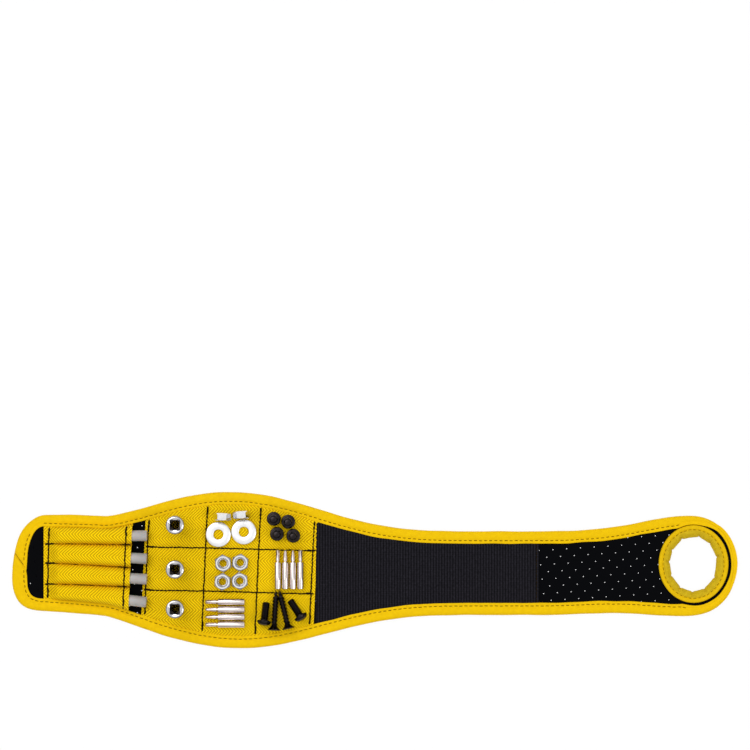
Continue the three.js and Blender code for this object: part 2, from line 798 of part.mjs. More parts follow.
const bitPitch = bitFlats / Math.cos(Math.PI / 6) + clearance;
const [bitsAcrossX, bitsAcrossY] = spot(2, 1, 0.08, -0.004);

function addBits() {
  const stackShare = 2.94;
  const z = seat + bitFlats / 2;
  const [alongX, alongY] = beyondRowLine(1, 2, -0.115, stackShare * bitPitch);
  for (let k = 0; k < 4; k++) {
    const aside = (k - 1.5) * bitPitch;
    const along = add(`bit_along_${k + 1}`, bit(), materials.zinc);
    along.position.set(alongX + bitLength / 2, alongY - aside, z);
    aim(along, level(180));
    const across = add(`bit_across_${k + 1}`, bit(), materials.zinc);
    across.position.set(bitsAcrossX + aside, bitsAcrossY - bitLength / 2, z);
    aim(across, level(90));
  }
}

function addBolts() {
  const pitch = 2 * boltHeadRadius + clearance;
  const groupShare = 1.37;
  const standingShares = [[-0.637, 0.603], [0.352, 0.405], [-0.417, -0.441], [0.703, -0.566]];
  const [x, y] = beyondRowLine(2, 0, -0.031, groupShare * pitch);
  standingShares.forEach(([across, up], k) => {
    const place = [x + across * pitch, y + up * pitch, seat];
    add(`bolt_standing_${k + 1}`, bolt(), materials.blackSteel, ...place);
  });
  const length = boltHeadHeight + boltShankLength;
  const lyingShares = [[-0.389, 1.4725, 83], [0.33, 1.227, 123]];
  lyingShares.forEach(([across, out, heading], k) => {
    const place = beyondRowLine(2, 2, across, out * length);
    const mesh = add(`bolt_lying_${k + 1}`, bolt(), materials.blackSteel, ...place);
    layDown(mesh, boltHeadRadius, boltHeadHeight, boltShankRadius, length, heading);
  });
}

// Two screws that point at the ends of the bits across the band.
function addScrews() {
  const tipShares = [[-0.1587, 1.5, 87], [-0.1055, 0.5, 103.5]];
  const bitsEnd = -bitsAcrossY + bitLength / 2;
  tipShares.forEach(([across, gap, heading], k) => {
    const tip = beyondRowLine(2, 2, across, bitsEnd - rowLine + gap * clearance);
    const way = level(heading);
    const place = [tip[0] - way.x * screwLength, tip[1] - way.y * screwLength];
    const mesh = add(`screw_${k + 1}`, screw(), materials.blackSteel, ...place);
    const shankEnd = screwLength - screwPointLength;
    layDown(mesh, screwHeadRadius, screwHeadRim, screwShankRadius, shankEnd, heading);
  });
}

addBase();
addEdgeBinding();
addThumbRing();
['left', 'middle', 'right'].forEach(addCanvasColumn);
addTapes();
addPocket();
addSticks();
addSockets();
addWashersAndEdgeNuts();
addFlatNuts();
addBits();
addBolts();
addScrews();

const wristband = new THREE.Group();
wristband.add(band);

export default wristband;
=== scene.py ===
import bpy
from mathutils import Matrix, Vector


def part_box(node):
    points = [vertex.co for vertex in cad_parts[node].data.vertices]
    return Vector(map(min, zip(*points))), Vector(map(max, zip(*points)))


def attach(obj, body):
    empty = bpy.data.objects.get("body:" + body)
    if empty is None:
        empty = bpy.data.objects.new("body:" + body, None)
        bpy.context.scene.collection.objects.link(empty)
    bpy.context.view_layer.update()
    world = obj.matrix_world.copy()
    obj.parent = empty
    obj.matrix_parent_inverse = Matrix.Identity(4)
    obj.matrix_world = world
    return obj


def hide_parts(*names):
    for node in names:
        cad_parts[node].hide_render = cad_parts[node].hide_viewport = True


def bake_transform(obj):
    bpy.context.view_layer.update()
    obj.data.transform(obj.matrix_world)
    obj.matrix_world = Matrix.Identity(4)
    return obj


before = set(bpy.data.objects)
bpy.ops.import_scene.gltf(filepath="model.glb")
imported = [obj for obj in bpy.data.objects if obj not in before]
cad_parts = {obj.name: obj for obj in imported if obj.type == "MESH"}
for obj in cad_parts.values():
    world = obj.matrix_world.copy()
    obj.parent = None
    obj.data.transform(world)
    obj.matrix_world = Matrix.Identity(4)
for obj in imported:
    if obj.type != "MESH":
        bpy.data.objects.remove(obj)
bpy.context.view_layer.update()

# The magnetic wristband laid flat, with its fabrics, stitches and hardware as modelled meshes.
# Sizes are in millimetres. Places along the band are counted from the pocket end's tip, as in the
# part, and row() turns them into the row frame's metres.

import math

import bmesh
import bpy
import numpy as np
from mathutils import Matrix, Vector
from mathutils.geometry import delaunay_2d_cdt

MM = 0.001
TURN = 2 * math.pi

# Plan of the band, as in the part but with a squarer pocket end that leans a little
LENGTH = 470.9
POCKET_HALF, POCKET_FLARE = 30.7, 1.8
POCKET_TIP, POCKET_TIP_POWER = 23, 2.6
POCKET_TIP_LEAN, POCKET_TIP_PIVOT = 0.11, -14
PAD_X, PAD_HALF = 146, 50.7
PAD_RISE, PAD_RISE_POWER = 84, 1.3
PAD_FALL, PAD_FALL_POWER = 165, 3.8
STRAP_HALF, THUMB_HALF = 27.2, 32.6
THUMB_TIP, THUMB_TIP_POWER = 32.1, 2.25
THUMB_RISE, THUMB_RISE_POWER = 90, 5
THUMB_X = LENGTH - THUMB_TIP

# How the band lies: how far its middle line is off to the side, and where each change comes on
POCKET_LAY, POCKET_LAY_AT = 3.75, (100, 20)
STRAP_LAY, STRAP_LAY_AT = -2.9, (90, 240)
THUMB_LAY, THUMB_LAY_AT = 2, (345, 450)

# Thumb hole and the ring round it
HOLE_X, HOLE_LIFT = LENGTH - 27.5, 1.2
HOLE = (14.75, 17.25)
RING = (22.65, 25.2)

# Heights
BASE_BOTTOM, BASE_TOP = 0.45, 3.2
HEM_TOP = 4.0
CROWN_TOP = 6.25
CANVAS_THICK = 0.8

# What is sewn on the front
POCKET_START, POCKET_MOUTH = 21.6, 78.3
PANEL_START, PANEL_END = 86.3, 198.45
COLUMN_LINES = (88.4, 126.1, 160.6, 195.7)
COLUMN_SLANT = 0.045
ROW_LINE = 14
TAPE_START, TAPE_END = 198.2, 343.2
TAPE_BOTTOM, TAPE_TOP = BASE_TOP + 0.05, 4.5

# Binding: its width, what is left of it beside the thumb ring, and how far in its seam is. Places
# where it widens and narrows near the pocket end are lengths along the outline from the tip.
BIND_WIDTH = 8
CRESCENT, CLOSE = 1.9, 0.3
TIP_EXTRA, TIP_EXTRA_AT, TIP_EXTRA_REACH = 1.9, -13, 20
CORNER_LESS, CORNER_AT, CORNER_REACH = 1.1, 31, 12
BIND_STITCH = 2.0
SEAM_PITCH = 3.3

# The joints, with the stretch of the band that bends at each and cuts about halfway between them
BODIES = ["pocket_end", "cells_left", "cells_middle", "cells_right"]
BODIES += [f"strap_{k}" for k in range(1, 6)] + ["thumb_end"]
CUTS = (107.25, 143.35, 178.15, 222.87, 271.4, 319.93, 362.4, 398.8)
BENDS = ((79, 92), (119.1, 133.1), (153.6, 167.6), (190, 207), (236, 258),
         (285, 307), (333.2, 355.2), (370, 392), (406, 420.7))


def row(points):
    """Points in millimetres from the pocket end's tip, in the row frame's metres."""
    return (np.asarray(points, float) - (LENGTH / 2, 0, 0)) * MM


def wander(s, wavelength, seed):
    """A smooth random value within -1 and 1 that changes over about a wavelength."""
    rng = np.random.default_rng(seed)
    rates = rng.uniform(0.6, 1.7, 5) * TURN / wavelength
    phases = rng.uniform(0, TURN, 5)
    return sum(np.sin(s * rate + phase) for rate, phase in zip(rates, phases)) / 5


def smooth_step(value, low, high):
    share = np.clip((value - low) / (high - low), 0, 1)
    return share * share * (3 - 2 * share)


def lay(x):
    """How far the band's middle line lies to the side at places along it."""
    pocket = POCKET_LAY * smooth_step(x, *POCKET_LAY_AT)
    strap = STRAP_LAY * smooth_step(x, *STRAP_LAY_AT)
    return pocket + strap + (THUMB_LAY - STRAP_LAY) * smooth_step(x, *THUMB_LAY_AT)


def lengths_along(points):
    return np.concatenate([[0], np.cumsum(np.linalg.norm(np.diff(points, axis=0), axis=1))])


HOLE_MIDDLE = np.array([HOLE_X, float(lay(HOLE_X)) + HOLE_LIFT])


# Plan


def shoulder(distance, length, power):
    return np.cos(np.minimum(distance / length, 1) * math.pi / 2) ** power


def rounded_end(share, power):
    return (1 - np.clip(share, 0, 1) ** power) ** (1 / power)


def half_width(x):
    """Half the band's width at places along it."""
    x = np.asarray(x, float)
    pocket = POCKET_HALF + POCKET_FLARE * x / (PAD_X - PAD_RISE)
    beyond = np.maximum(THUMB_X - x, 0)
    strap = STRAP_HALF + (THUMB_HALF - STRAP_HALF) * shoulder(beyond, THUMB_RISE, THUMB_RISE_POWER)
    rise = shoulder(np.maximum(PAD_X - x, 0), PAD_RISE, PAD_RISE_POWER)
    fall = shoulder(np.maximum(x - PAD_X, 0), PAD_FALL, PAD_FALL_POWER)
    tip = rounded_end((POCKET_TIP - x) / POCKET_TIP, POCKET_TIP_POWER)
    end = rounded_end((x - THUMB_X) / THUMB_TIP, THUMB_TIP_POWER)
    before = (pocket + (PAD_HALF - pocket) * rise) * np.where(x < POCKET_TIP, tip, 1)
    after = (strap + (PAD_HALF - strap) * fall) * np.where(x > THUMB_X, end, 1)
    return np.where(x < PAD_X, before, after)


def inner_half_width(x, inset=BIND_WIDTH):
    """Half the width left inside a strip of that width along both edges."""
    x = np.asarray(x, float)
    slope = half_width(x + 0.5) - half_width(x - 0.5)
    return half_width(x) - inset * np.hypot(1, slope)


def bell(offset, reach):
    """1 in the middle, fading to nothing."""
    return np.exp(-((offset / reach) ** 2))


def trace_outline():
    """The outline from the pocket end's tip over the upper side and back, and lengths along it."""
    quarter = np.linspace(0, math.pi / 2, 300)
    xs = np.concatenate([
        POCKET_TIP * (1 - np.cos(quarter)),
        np.linspace(POCKET_TIP, THUMB_X, 3000)[1:-1],
        THUMB_X + THUMB_TIP * np.sin(quarter),
    ])
    ys = half_width(xs)
    ys[0] = ys[-1] = 0
    upper = np.stack([xs, ys], 1)
    points = np.concatenate([upper, upper[-2::-1] * (1, -1)])
    leaning = POCKET_TIP_LEAN * (points[:, 1] - POCKET_TIP_PIVOT)
    points[:, 0] += leaning * smooth_step(points[:, 0], 30, 6)
    points[:, 1] += lay(points[:, 0])
    return points, lengths_along(points)


OUTLINE, OUTLINE_AT = trace_outline()
PERIMETER = OUTLINE_AT[-1]


def on_outline(s):
    """Points of the outline at arc lengths, and the directions inwards there."""
    def at(t):
        t = np.mod(t, PERIMETER)
        return np.stack([np.interp(t, OUTLINE_AT, OUTLINE[:, k]) for k in (0, 1)], -1)
    along = at(s + 0.6) - at(s - 0.6)
    along /= np.linalg.norm(along, axis=-1, keepdims=True)
    return at(s), np.stack([along[..., 1], -along[..., 0]], -1)


def binding_width(s):
    """Width of the binding, which varies at the pocket end's tip and narrows beside the thumb ring."""
    point, inward = on_outline(s)
    scale = 1 / np.array(RING)
    start, way = (point - HOLE_MIDDLE) * scale, inward * scale
    a, b = (way * way).sum(-1), (start * way).sum(-1)
    root = b * b - a * ((start * start).sum(-1) - 1)
    room = np.where(root > 0, (-b - np.sqrt(np.maximum(root, 0))) / a, np.inf)
    off = point - HOLE_MIDDLE
    bearing = np.degrees(np.arctan2(off[..., 1], off[..., 0]))
    beside = smooth_step(bearing, 85, 50) * smooth_step(bearing, -135, -105)
    crescent = CLOSE + (CRESCENT - CLOSE) * beside
    from_tip = np.mod(s + PERIMETER / 2, PERIMETER) - PERIMETER / 2
    width = BIND_WIDTH + TIP_EXTRA * bell(from_tip - TIP_EXTRA_AT, TIP_EXTRA_REACH)
    width = width - CORNER_LESS * bell(from_tip - CORNER_AT, CORNER_REACH)
    return np.minimum(width, room - crescent)


# Mesh building


def show(name, data):
    """A new object in the scene."""
    made = bpy.data.objects.new(name, data)
    bpy.context.scene.collection.objects.link(made)
    return made


def new_piece(name, points, faces, corners, material, angle=40, own=False):
    """A piece from points in millimetres, or its own metres, with a UV pair for each face corner."""
    mesh = bpy.data.meshes.new(name)
    mesh.from_pydata((points if own else row(points)).tolist(), [], faces)
    uv = mesh.uv_layers.new(name="flat")
    uv.data.foreach_set("uv", np.asarray(corners, np.float32).ravel())
    mesh.shade_smooth()
    mesh.set_sharp_from_angle(angle=math.radians(angle))
    mesh.materials.append(material)
    return show(name, mesh)


def tube(name, rings, uv, material, closed=False, angle=40, own=False):
    """A skin over rings of points; an open one is capped. uv has one more column than the rings."""
    rings = np.asarray(rings, float)
    count, sides = rings.shape[:2]
    faces, corners = [], []
    for i in range(count if closed else count - 1):
        a, b = i * sides, (i + 1) % count * sides
        for j in range(sides):
            n = (j + 1) % sides
            faces.append((a + j, a + n, b + n, b + j))
            corners += [uv[i][j], uv[i][j + 1], uv[i + 1][j + 1], uv[i + 1][j]]
    if not closed:
        last = (count - 1) * sides
        faces += [tuple(range(sides))[::-1], tuple(range(last, last + sides))]
        corners += [*uv[0][:sides][::-1], *uv[-1][:sides]]
    piece = new_piece(name, rings.reshape(-1, 3), faces, corners, material, angle, own)
    face_out(piece)
    return piece


def face_out(piece):
    """Turns a closed mesh the right way out."""
    bm = bmesh.new()
    bm.from_mesh(piece.data)
    if bm.calc_volume(signed=True) < 0:
        bmesh.ops.reverse_faces(bm, faces=bm.faces)
        bm.to_mesh(piece.data)
    bm.free()


def layer(name, xs, top_at, under, material, margin, count):
    """A layer of fabric that reaches a margin past the binding's inner edges.

    top_at gives its top from places on the straight band and under its underside from the top. The
    layer follows the way the band lies."""
    rings, uv = [], []
    for x in xs:
        edge = float(inner_half_width(x)) + margin
        ys = np.linspace(edge, -edge, count)
        top = top_at(x, ys)
        plan = np.column_stack([np.full(2 * count, x), np.append(ys, ys[::-1])])
        heights = np.append(top, under(top)[::-1])
        rings.append(np.column_stack([plan + (0, lay(x)), heights]))
        uv.append(np.append(plan, plan[:1], axis=0))
    return tube(name, rings, uv, material)


def lean_ends(piece, *ends):
    """Leans a layer's ends with the column lines, each up to a distance from its place."""
    for v in piece.data.vertices:
        x = v.co.x / MM + LENGTH / 2
        near = sum(float(smooth_step(abs(x - place), reach, 0)) for place, reach in ends)
        v.co.x += COLUMN_SLANT * v.co.y * near


def dress(piece, carrier, node):
    """A piece rides on a body and stands for a CAD node."""
    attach(piece, carrier)
    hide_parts(node)


def plate(name, outline, holes, loose, bottom, top, material):
    """A flat plate between two levels, with holes, and loose points in it for it to bend at."""
    points, edges, owners = [], [], []
    for number, loop in enumerate([outline, *holes]):
        first = len(points)
        points += [Vector(p) for p in loop]
        owners += [number] * len(loop)
        edges += [(first + k, first + (k + 1) % len(loop)) for k in range(len(loop))]
    points += [Vector(p) for p in loose]
    owners += [0] * len(loose)
    found, _, triangles, sources, *_ = delaunay_2d_cdt(points, edges, [], 1, 1e-5)
    owner = [owners[source[0]] for source in sources]
    triangles = [t for t in triangles if not owner[t[0]] == owner[t[1]] == owner[t[2]] > 0]
    flat = np.array([tuple(p) for p in found])
    count = len(flat)
    faces = [tuple(t) for t in triangles]
    directed = {(t[k], t[(k + 1) % 3]) for t in faces for k in range(3)}
    rim = [(a, b) for a, b in directed if (b, a) not in directed]
    faces += [tuple(i + count for i in t[::-1]) for t in triangles]
    faces += [(b, a, a + count, b + count) for a, b in sorted(rim)]
    corners = [flat[i % count] for face in faces for i in face]
    points = np.concatenate([np.column_stack([flat, np.full(count, z)]) for z in (top, bottom)])
    return new_piece(name, points, faces, corners, material)


def stretches():
    """The number of each joint's stretch of the band, with the cuts that it lies between."""
    limits = (-math.inf, *CUTS, math.inf)
    return enumerate(zip(limits, limits[1:]))


def bend(piece):
    """Bakes a piece's placement into its mesh."""
    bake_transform(piece)


def cut_at_joints(whole, nodes):
    """Cuts a layer between its joints. Each part stands for the CAD nodes that it overlaps."""
    made = []
    xs = np.array([v.co.x for v in whole.data.vertices]) / MM + LENGTH / 2
    low, high = xs.min(), xs.max()
    for k, cuts in stretches():
        if cuts[1] <= low or cuts[0] >= high:
            continue
        bm = bmesh.new()
        bm.from_mesh(whole.data)
        for x, side in zip(cuts, (-1, 1)):
            if low < x < high:
                everything = bm.verts[:] + bm.edges[:] + bm.faces[:]
                bmesh.ops.bisect_plane(bm, geom=everything, plane_co=Vector(row((x, 0, 0))),
                                       plane_no=(side, 0, 0), clear_outer=True)
                open_edges = [e for e in bm.edges if e.is_boundary]
                bmesh.ops.holes_fill(bm, edges=open_edges, sides=0)
                for edge in open_edges:
                    edge.smooth = False
        part = show(f"{whole.name}_{k + 1}", whole.data.copy())
        part.data.name = part.name
        bm.to_mesh(part.data)
        bm.free()
        bend(part)
        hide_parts(*[n for n in nodes if overlaps(part, n)])
        made.append(part)
    bpy.data.objects.remove(whole)
    return made


def overlaps(part, node):
    low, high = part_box(node)
    xs = [v.co.x for v in part.data.vertices]
    return min(xs) < high.x - 2 * MM and max(xs) > low.x + 2 * MM


# Materials


def linear(*colour):
    """A colour from the usual 0 to 255 display values."""
    shares = [value / 255 for value in colour]
    return (*(s / 12.92 if s <= 0.04045 else ((s + 0.055) / 1.055) ** 2.4 for s in shares), 1)


class Nodes:
    """The shader nodes of a material or of the world, under construction."""

    def __init__(self, owner):
        owner.use_nodes = True
        self.owner, self.tree = owner, owner.node_tree
        self.tree.nodes.clear()

    def node(self, kind, inputs, **properties):
        made = self.tree.nodes.new("ShaderNode" + kind)
        for key, value in properties.items():
            setattr(made, key, value)
        for key, value in inputs.items():
            if isinstance(value, bpy.types.NodeSocket):
                self.tree.links.new(value, made.inputs[key])
            else:
                made.inputs[key].default_value = value
        return made

    def maths(self, operation, *values):
        return self.node("Math", dict(enumerate(values)), operation=operation).outputs[0]

    def wave(self, value, pitch):
        """0 to 1 and back over each pitch."""
        turned = self.maths("MULTIPLY", value, TURN / pitch)
        return self.maths("MULTIPLY_ADD", self.maths("SINE", turned), 0.5, 0.5)

    def mix(self, share, *colours):
        """A colour between two, each a node's or in display values."""
        first, second = (linear(*c) if isinstance(c, tuple) else c for c in colours)
        return self.node("Mix", {0: share, 6: first, 7: second}, data_type="RGBA").outputs[2]

    def noise(self, vector, scale, detail=3, roughness=0.5):
        inputs = {"Vector": vector, "Scale": scale, "Detail": detail, "Roughness": roughness}
        return self.node("TexNoise", inputs).outputs["Fac"]

    def bump(self, height, depth, strength):
        inputs = {"Height": height, "Distance": depth * MM, "Strength": strength}
        return self.node("Bump", inputs).outputs["Normal"]

    def flat(self):
        """The UV pair in millimetres, as a vector and as its two numbers."""
        uv = self.node("UVMap", {}, uv_map="flat").outputs["UV"]
        parts = self.node("SeparateXYZ", {"Vector": uv}).outputs
        return uv, parts[0], parts[1]

    def place(self):
        return self.node("TexCoord", {}).outputs["Object"]

    def path(self):
        """The kinds of light ray, and 1 for those that show things to the camera."""
        kinds = self.node("LightPath", {}).outputs
        return kinds, self.maths("MAXIMUM", kinds["Is Camera Ray"], kinds["Is Transmission Ray"])

    def end(self, shader, output="OutputMaterial"):
        self.node(output, {"Surface": shader.outputs[0]})
        return self.owner

    def surface(self, **inputs):
        inputs = {key.replace("_", " "): value for key, value in inputs.items()}
        return self.end(self.node("BsdfPrincipled", inputs))

    def cloth(self, colour, roughness, height, depth, strength, gloss=0.05):
        return self.surface(Base_Color=colour, Roughness=roughness,
                            Normal=self.bump(height, depth, strength), Specular_IOR_Level=gloss)


def finish(name):
    return Nodes(bpy.data.materials.new(name))


CHEVRON_HALF = 6.6
TWILL_PITCH = 2.0
YARN_PITCH = 0.52
WEAVE_PITCHES = (0.5, 0.42)
LOOP_PITCHES = (1.8, 1.2)
HOOK_PITCHES = (1.5, 1.1)


def canvas_finish():
    """Herringbone twill: diagonal ribs that turn back along lines down the band, with painted highlight on
    the ribs' ridges and painted shade in their valleys.
    """
    f = finish("canvas")
    uv, along, across = f.flat()
    drift = f.noise(uv, 0.11, 2)
    band = f.maths("PINGPONG", f.maths("ADD", across, 100 * CHEVRON_HALF), CHEVRON_HALF)
    lean = f.maths("MULTIPLY_ADD", drift, 1.5, f.maths("ADD", band, along))
    rib = f.wave(lean, TWILL_PITCH)
    yarn = f.wave(f.maths("MULTIPLY_ADD", lean, -0.8, across), YARN_PITCH)
    height = f.maths("MULTIPLY_ADD", yarn, 0.25, rib)
    # Painted light: the ribs' colour is lighter on their ridges and darker in their valleys, as light and
    # shade of their relief.
    ridge_highlight = f.maths("POWER", rib, 0.65)
    share = f.maths("MULTIPLY_ADD", f.noise(uv, 1.6, 2), 0.25, f.maths("MULTIPLY", ridge_highlight, 0.9))
    colour = f.mix(share, (168, 112, 0), (255, 219, 14))
    patch = f.maths("MULTIPLY_ADD", f.noise(uv, 0.05, 3), 0.4, -0.12)
    return f.cloth(f.mix(patch, colour, (226, 172, 2)), 0.9, height, 0.24, 0.9)


def crumpled(f, *noise):
    """Plain weave that is crumpled: its height, the share of its lighter colour, its place across."""
    uv, along, across = f.flat()
    weave = f.maths("MULTIPLY", f.wave(along, WEAVE_PITCHES[0]), f.wave(across, WEAVE_PITCHES[1]))
    crumple = f.noise(uv, *noise)
    share = f.maths("MULTIPLY_ADD", weave, 0.3, f.maths("MULTIPLY", crumple, 0.9))
    return f.maths("MULTIPLY_ADD", crumple, 2.5, weave), share, across


def binding_finish():
    f = finish("binding")
    height, share, _ = crumpled(f, 0.35, 4, 0.55)
    return f.cloth(f.mix(share, (216, 170, 0), (243, 202, 0)), 0.7, height, 0.07, 0.6, 0.08)


def ring_finish():
    """The binding round the thumb hole: its colour on the flange, and a painted shade, darker and greener,
    where it rolls in.
    """
    f = finish("ring")
    height, share, across = crumpled(f, 0.4, 4, 0.6)
    flange = f.mix(share, (200, 158, 2), (238, 198, 6))
    # Painted shade: the roll into the hole gets a darker copy of the binding's colour, from the section's
    # run past the flange.
    shaded_roll = f.mix(share, (168, 138, 14), (222, 190, 30))
    inside = f.node("MapRange", {"Value": across, "From Min": 4.6, "From Max": 5.6}).outputs[0]
    return f.cloth(f.mix(inside, flange, shaded_roll), 0.7, height, 0.1, 0.6, 0.08)


def neoprene_finish():
    f = finish("neoprene")
    uv, along, across = f.flat()
    slanted = f.maths("MULTIPLY_ADD", along, 0.5, across)
    knit = f.maths("MULTIPLY", f.wave(along, 0.6), f.wave(slanted, 0.5))
    grain = f.noise(uv, 2.2, 3)
    height = f.maths("ADD", knit, grain)
    return f.cloth(f.mix(grain, (3, 3, 5), (10, 11, 14)), 0.95, height, 0.06, 0.6, 0.04)


def loop_finish():
    """Loop tape: fine ribs across the band, with a knitted mesh of loops along each."""
    f = finish("loop_tape")
    uv, along, across = f.flat()
    rib = f.wave(f.maths("MULTIPLY_ADD", f.noise(uv, 0.9, 2), 0.8, along), LOOP_PITCHES[0])
    loops = f.wave(f.maths("MULTIPLY_ADD", f.noise(uv, 1.7, 2), 1.4, across), LOOP_PITCHES[1])
    height = f.maths("MULTIPLY_ADD", loops, 0.4, rib)
    share = f.maths("MULTIPLY", height, f.noise(uv, 0.7, 3))
    return f.cloth(f.mix(share, (7, 7, 9), (44, 42, 49)), 0.9, height, 0.2, 0.8)


def hook_finish():
    f = finish("hook_tape")
    _, along, across = f.flat()
    hooks = f.maths("MULTIPLY", f.wave(along, HOOK_PITCHES[0]), f.wave(across, HOOK_PITCHES[1]))
    return f.cloth(f.mix(hooks, (8, 8, 9), (44, 44, 48)), 0.5, hooks, 0.5, 0.9, 0.5)


def thread_finish(name, *colours):
    """Sewing thread with its twist."""
    f = finish(name)
    _, along, across = f.flat()
    twist = f.wave(f.maths("ADD", along, across), 0.5)
    return f.cloth(f.mix(twist, *colours), 0.6, twist, 0.06, 0.7)


def metal_finish(name, dark, light, low, high, scale=260, bump=0.0):
    """Plated or oiled metal: smudges in its gloss and a faint grain."""
    f = finish(name)
    place = f.place()
    smudge = f.noise(place, scale, 4, 0.6)
    gloss = f.maths("MULTIPLY_ADD", smudge, high - low, low)
    inputs = {"Base_Color": f.mix(smudge, dark, light), "Metallic": 1.0, "Roughness": gloss}
    if bump:
        inputs["Normal"] = f.bump(f.noise(place, scale * 9, 2), bump, 0.5)
    return f.surface(**inputs)


def stick_finish():
    """Milky plastic with faint drawing lines along it."""
    f = finish("stick")
    streak = f.noise(f.place(), 180, 3)
    colour = f.mix(streak, (146, 142, 139), (186, 182, 180))
    return f.surface(Base_Color=colour, Roughness=0.35, Subsurface_Weight=0.2,
                     Subsurface_Scale=0.002, Normal=f.bump(streak, 0.05, 0.4))


CANVAS = canvas_finish()
BINDING = binding_finish()
RING_BINDING = ring_finish()
NEOPRENE = neoprene_finish()
LOOP = loop_finish()
HOOK = hook_finish()
BLACK_THREAD = thread_finish("black_thread", (12, 8, 2), (44, 30, 8))
BROWN_THREAD = thread_finish("brown_thread", (84, 58, 0), (138, 102, 6))
CHROME = metal_finish("chrome", (150, 148, 152), (222, 221, 224), 0.06, 0.14)
# Painted shade: a metal far darker than steel, for the shade deep in the sockets' bores.
PAINTED_BORE_SHADE = metal_finish("painted_bore_shade", (34, 29, 26), (74, 66, 60), 0.35, 0.5)
ZINC = metal_finish("zinc", (214, 214, 216), (246, 246, 247), 0.26, 0.42, 420, 0.02)
NUT_STEEL = metal_finish("nut_steel", (208, 208, 211), (246, 246, 248), 0.1, 0.2, 420, 0.01)
BIT_STEEL = metal_finish("bit_steel", (186, 168, 160), (252, 244, 240), 0.08, 0.16, 300, 0.01)
BLACK_STEEL = metal_finish("black_steel", (28, 25, 26), (54, 49, 50), 0.16, 0.28, 500, 0.02)
STICK = stick_finish()
MAGNET = metal_finish("magnet", (150, 152, 158), (196, 198, 204), 0.2, 0.35, 350, 0.01)


# Neoprene base

PORE, PORE_SIDES = 0.36, 12
PORE_FIRST = np.array([349.2, -1.9])
PORE_PITCH, PORE_ROW, PORE_SHIFT = 8.95, 4.68, 0.52
PORE_TILT = math.radians(3.7)
PORE_ROOM = 1.4
TUCK = 2.0


def around(count):
    return np.arange(count) * TURN / count


def ellipse(half, count):
    angles = around(count)
    return np.column_stack([half[0] * np.cos(angles), half[1] * np.sin(angles)])


def perforations(outline):
    """Middles of the holes through the neoprene, in rows that rise a little along the band."""
    way = np.array([math.cos(PORE_TILT), math.sin(PORE_TILT)])
    side = np.array([way[1], -way[0]])
    places = []
    for i in range(-60, 30):
        for j in range(-24, 25):
            along = (i + (PORE_SHIFT * j) % 1) * PORE_PITCH
            places.append(PORE_FIRST + way * along + side * j * PORE_ROW)
    places = np.array(places)
    places = places[(places[:, 0] > 12.5) & (places[:, 0] < LENGTH - 4)]
    room = inner_half_width(places[:, 0], BIND_WIDTH - TUCK + PORE_ROOM)
    places = places[np.abs(places[:, 1] - lay(places[:, 0])) < room]
    from_edge = np.array([np.hypot(*(outline - place).T).min() for place in places])
    from_ring = np.hypot(*((places - HOLE_MIDDLE) / RING).T)
    return places[(from_edge > PORE_ROOM) & (from_ring > 1)]


def build_base():
    s = np.arange(0, PERIMETER - 1, 2.0)
    point, inward = on_outline(s)
    outline = point + inward * (binding_width(s) - TUCK)[:, None]
    circle = ellipse((PORE, PORE), PORE_SIDES)
    middles = perforations(outline)
    under_ring = HOLE_MIDDLE + ellipse((RING[0] - TUCK, RING[1] - TUCK), 72)
    loose = []
    for start, end in BENDS[:3] + BENDS[8:]:
        for x in np.arange(start - 2, end + 2, 2.2):
            reach = float(inner_half_width(x)) + 0.5
            for y in np.arange(-reach, reach, 3.1) + lay(x):
                clear = np.hypot(*(middles - (x, y)).T).min() > 1.3
                if clear and np.hypot(*((HOLE_MIDDLE - (x, y)) / RING)) > 1:
                    loose.append((x, y))
    holes = [under_ring] + [middle + circle for middle in middles]
    base = plate("neoprene", outline, holes, loose, BASE_BOTTOM, BASE_TOP, NEOPRENE)
    for part in cut_at_joints(base, [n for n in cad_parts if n.startswith("base_")]):
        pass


# Edge binding

LAP, LAP_SLANT, LAP_LIFT = 7.0, 1.1, 0.6
BAND_MIDDLE = 2.3
GATHER = 0.07


def binding_section(width):
    """Section of the binding as [distance from the edge, height], round from the slot's top."""
    groove = width - BIND_STITCH
    return np.array([
        (width, 3.1), (width, 3.95), (width - 0.12, 4.25), (width - 0.45, 4.4), (width - 1.0, 4.38),
        (groove + 0.45, 4.12), (groove, 3.98), (groove - 0.45, 4.14), (groove - 1.1, 4.45),
        (groove - 2.0, 4.58), (width * 0.38, 4.6), (1.7, 4.48), (0.9, 4.15), (0.35, 3.6), (0.06, 2.9),
        (0, 2.3), (0.06, 1.7), (0.35, 1.0), (0.9, 0.45), (1.7, 0.12), (width * 0.38, 0),
        (groove - 1.1, 0.03), (groove - 0.45, 0.22), (groove, 0.34), (groove + 0.45, 0.24),
        (width - 0.9, 0.05), (width - 0.3, 0.12), (width, 0.45), (width, 1.1), (2.2, 1.1), (2.2, 3.1),
    ])


def unrolled(along, section):
    """UV pairs round a section at a length along its tape."""
    run = lengths_along(section)
    return np.column_stack([np.full(len(run) + 1, along), np.append(run, run[-1] + 2)])


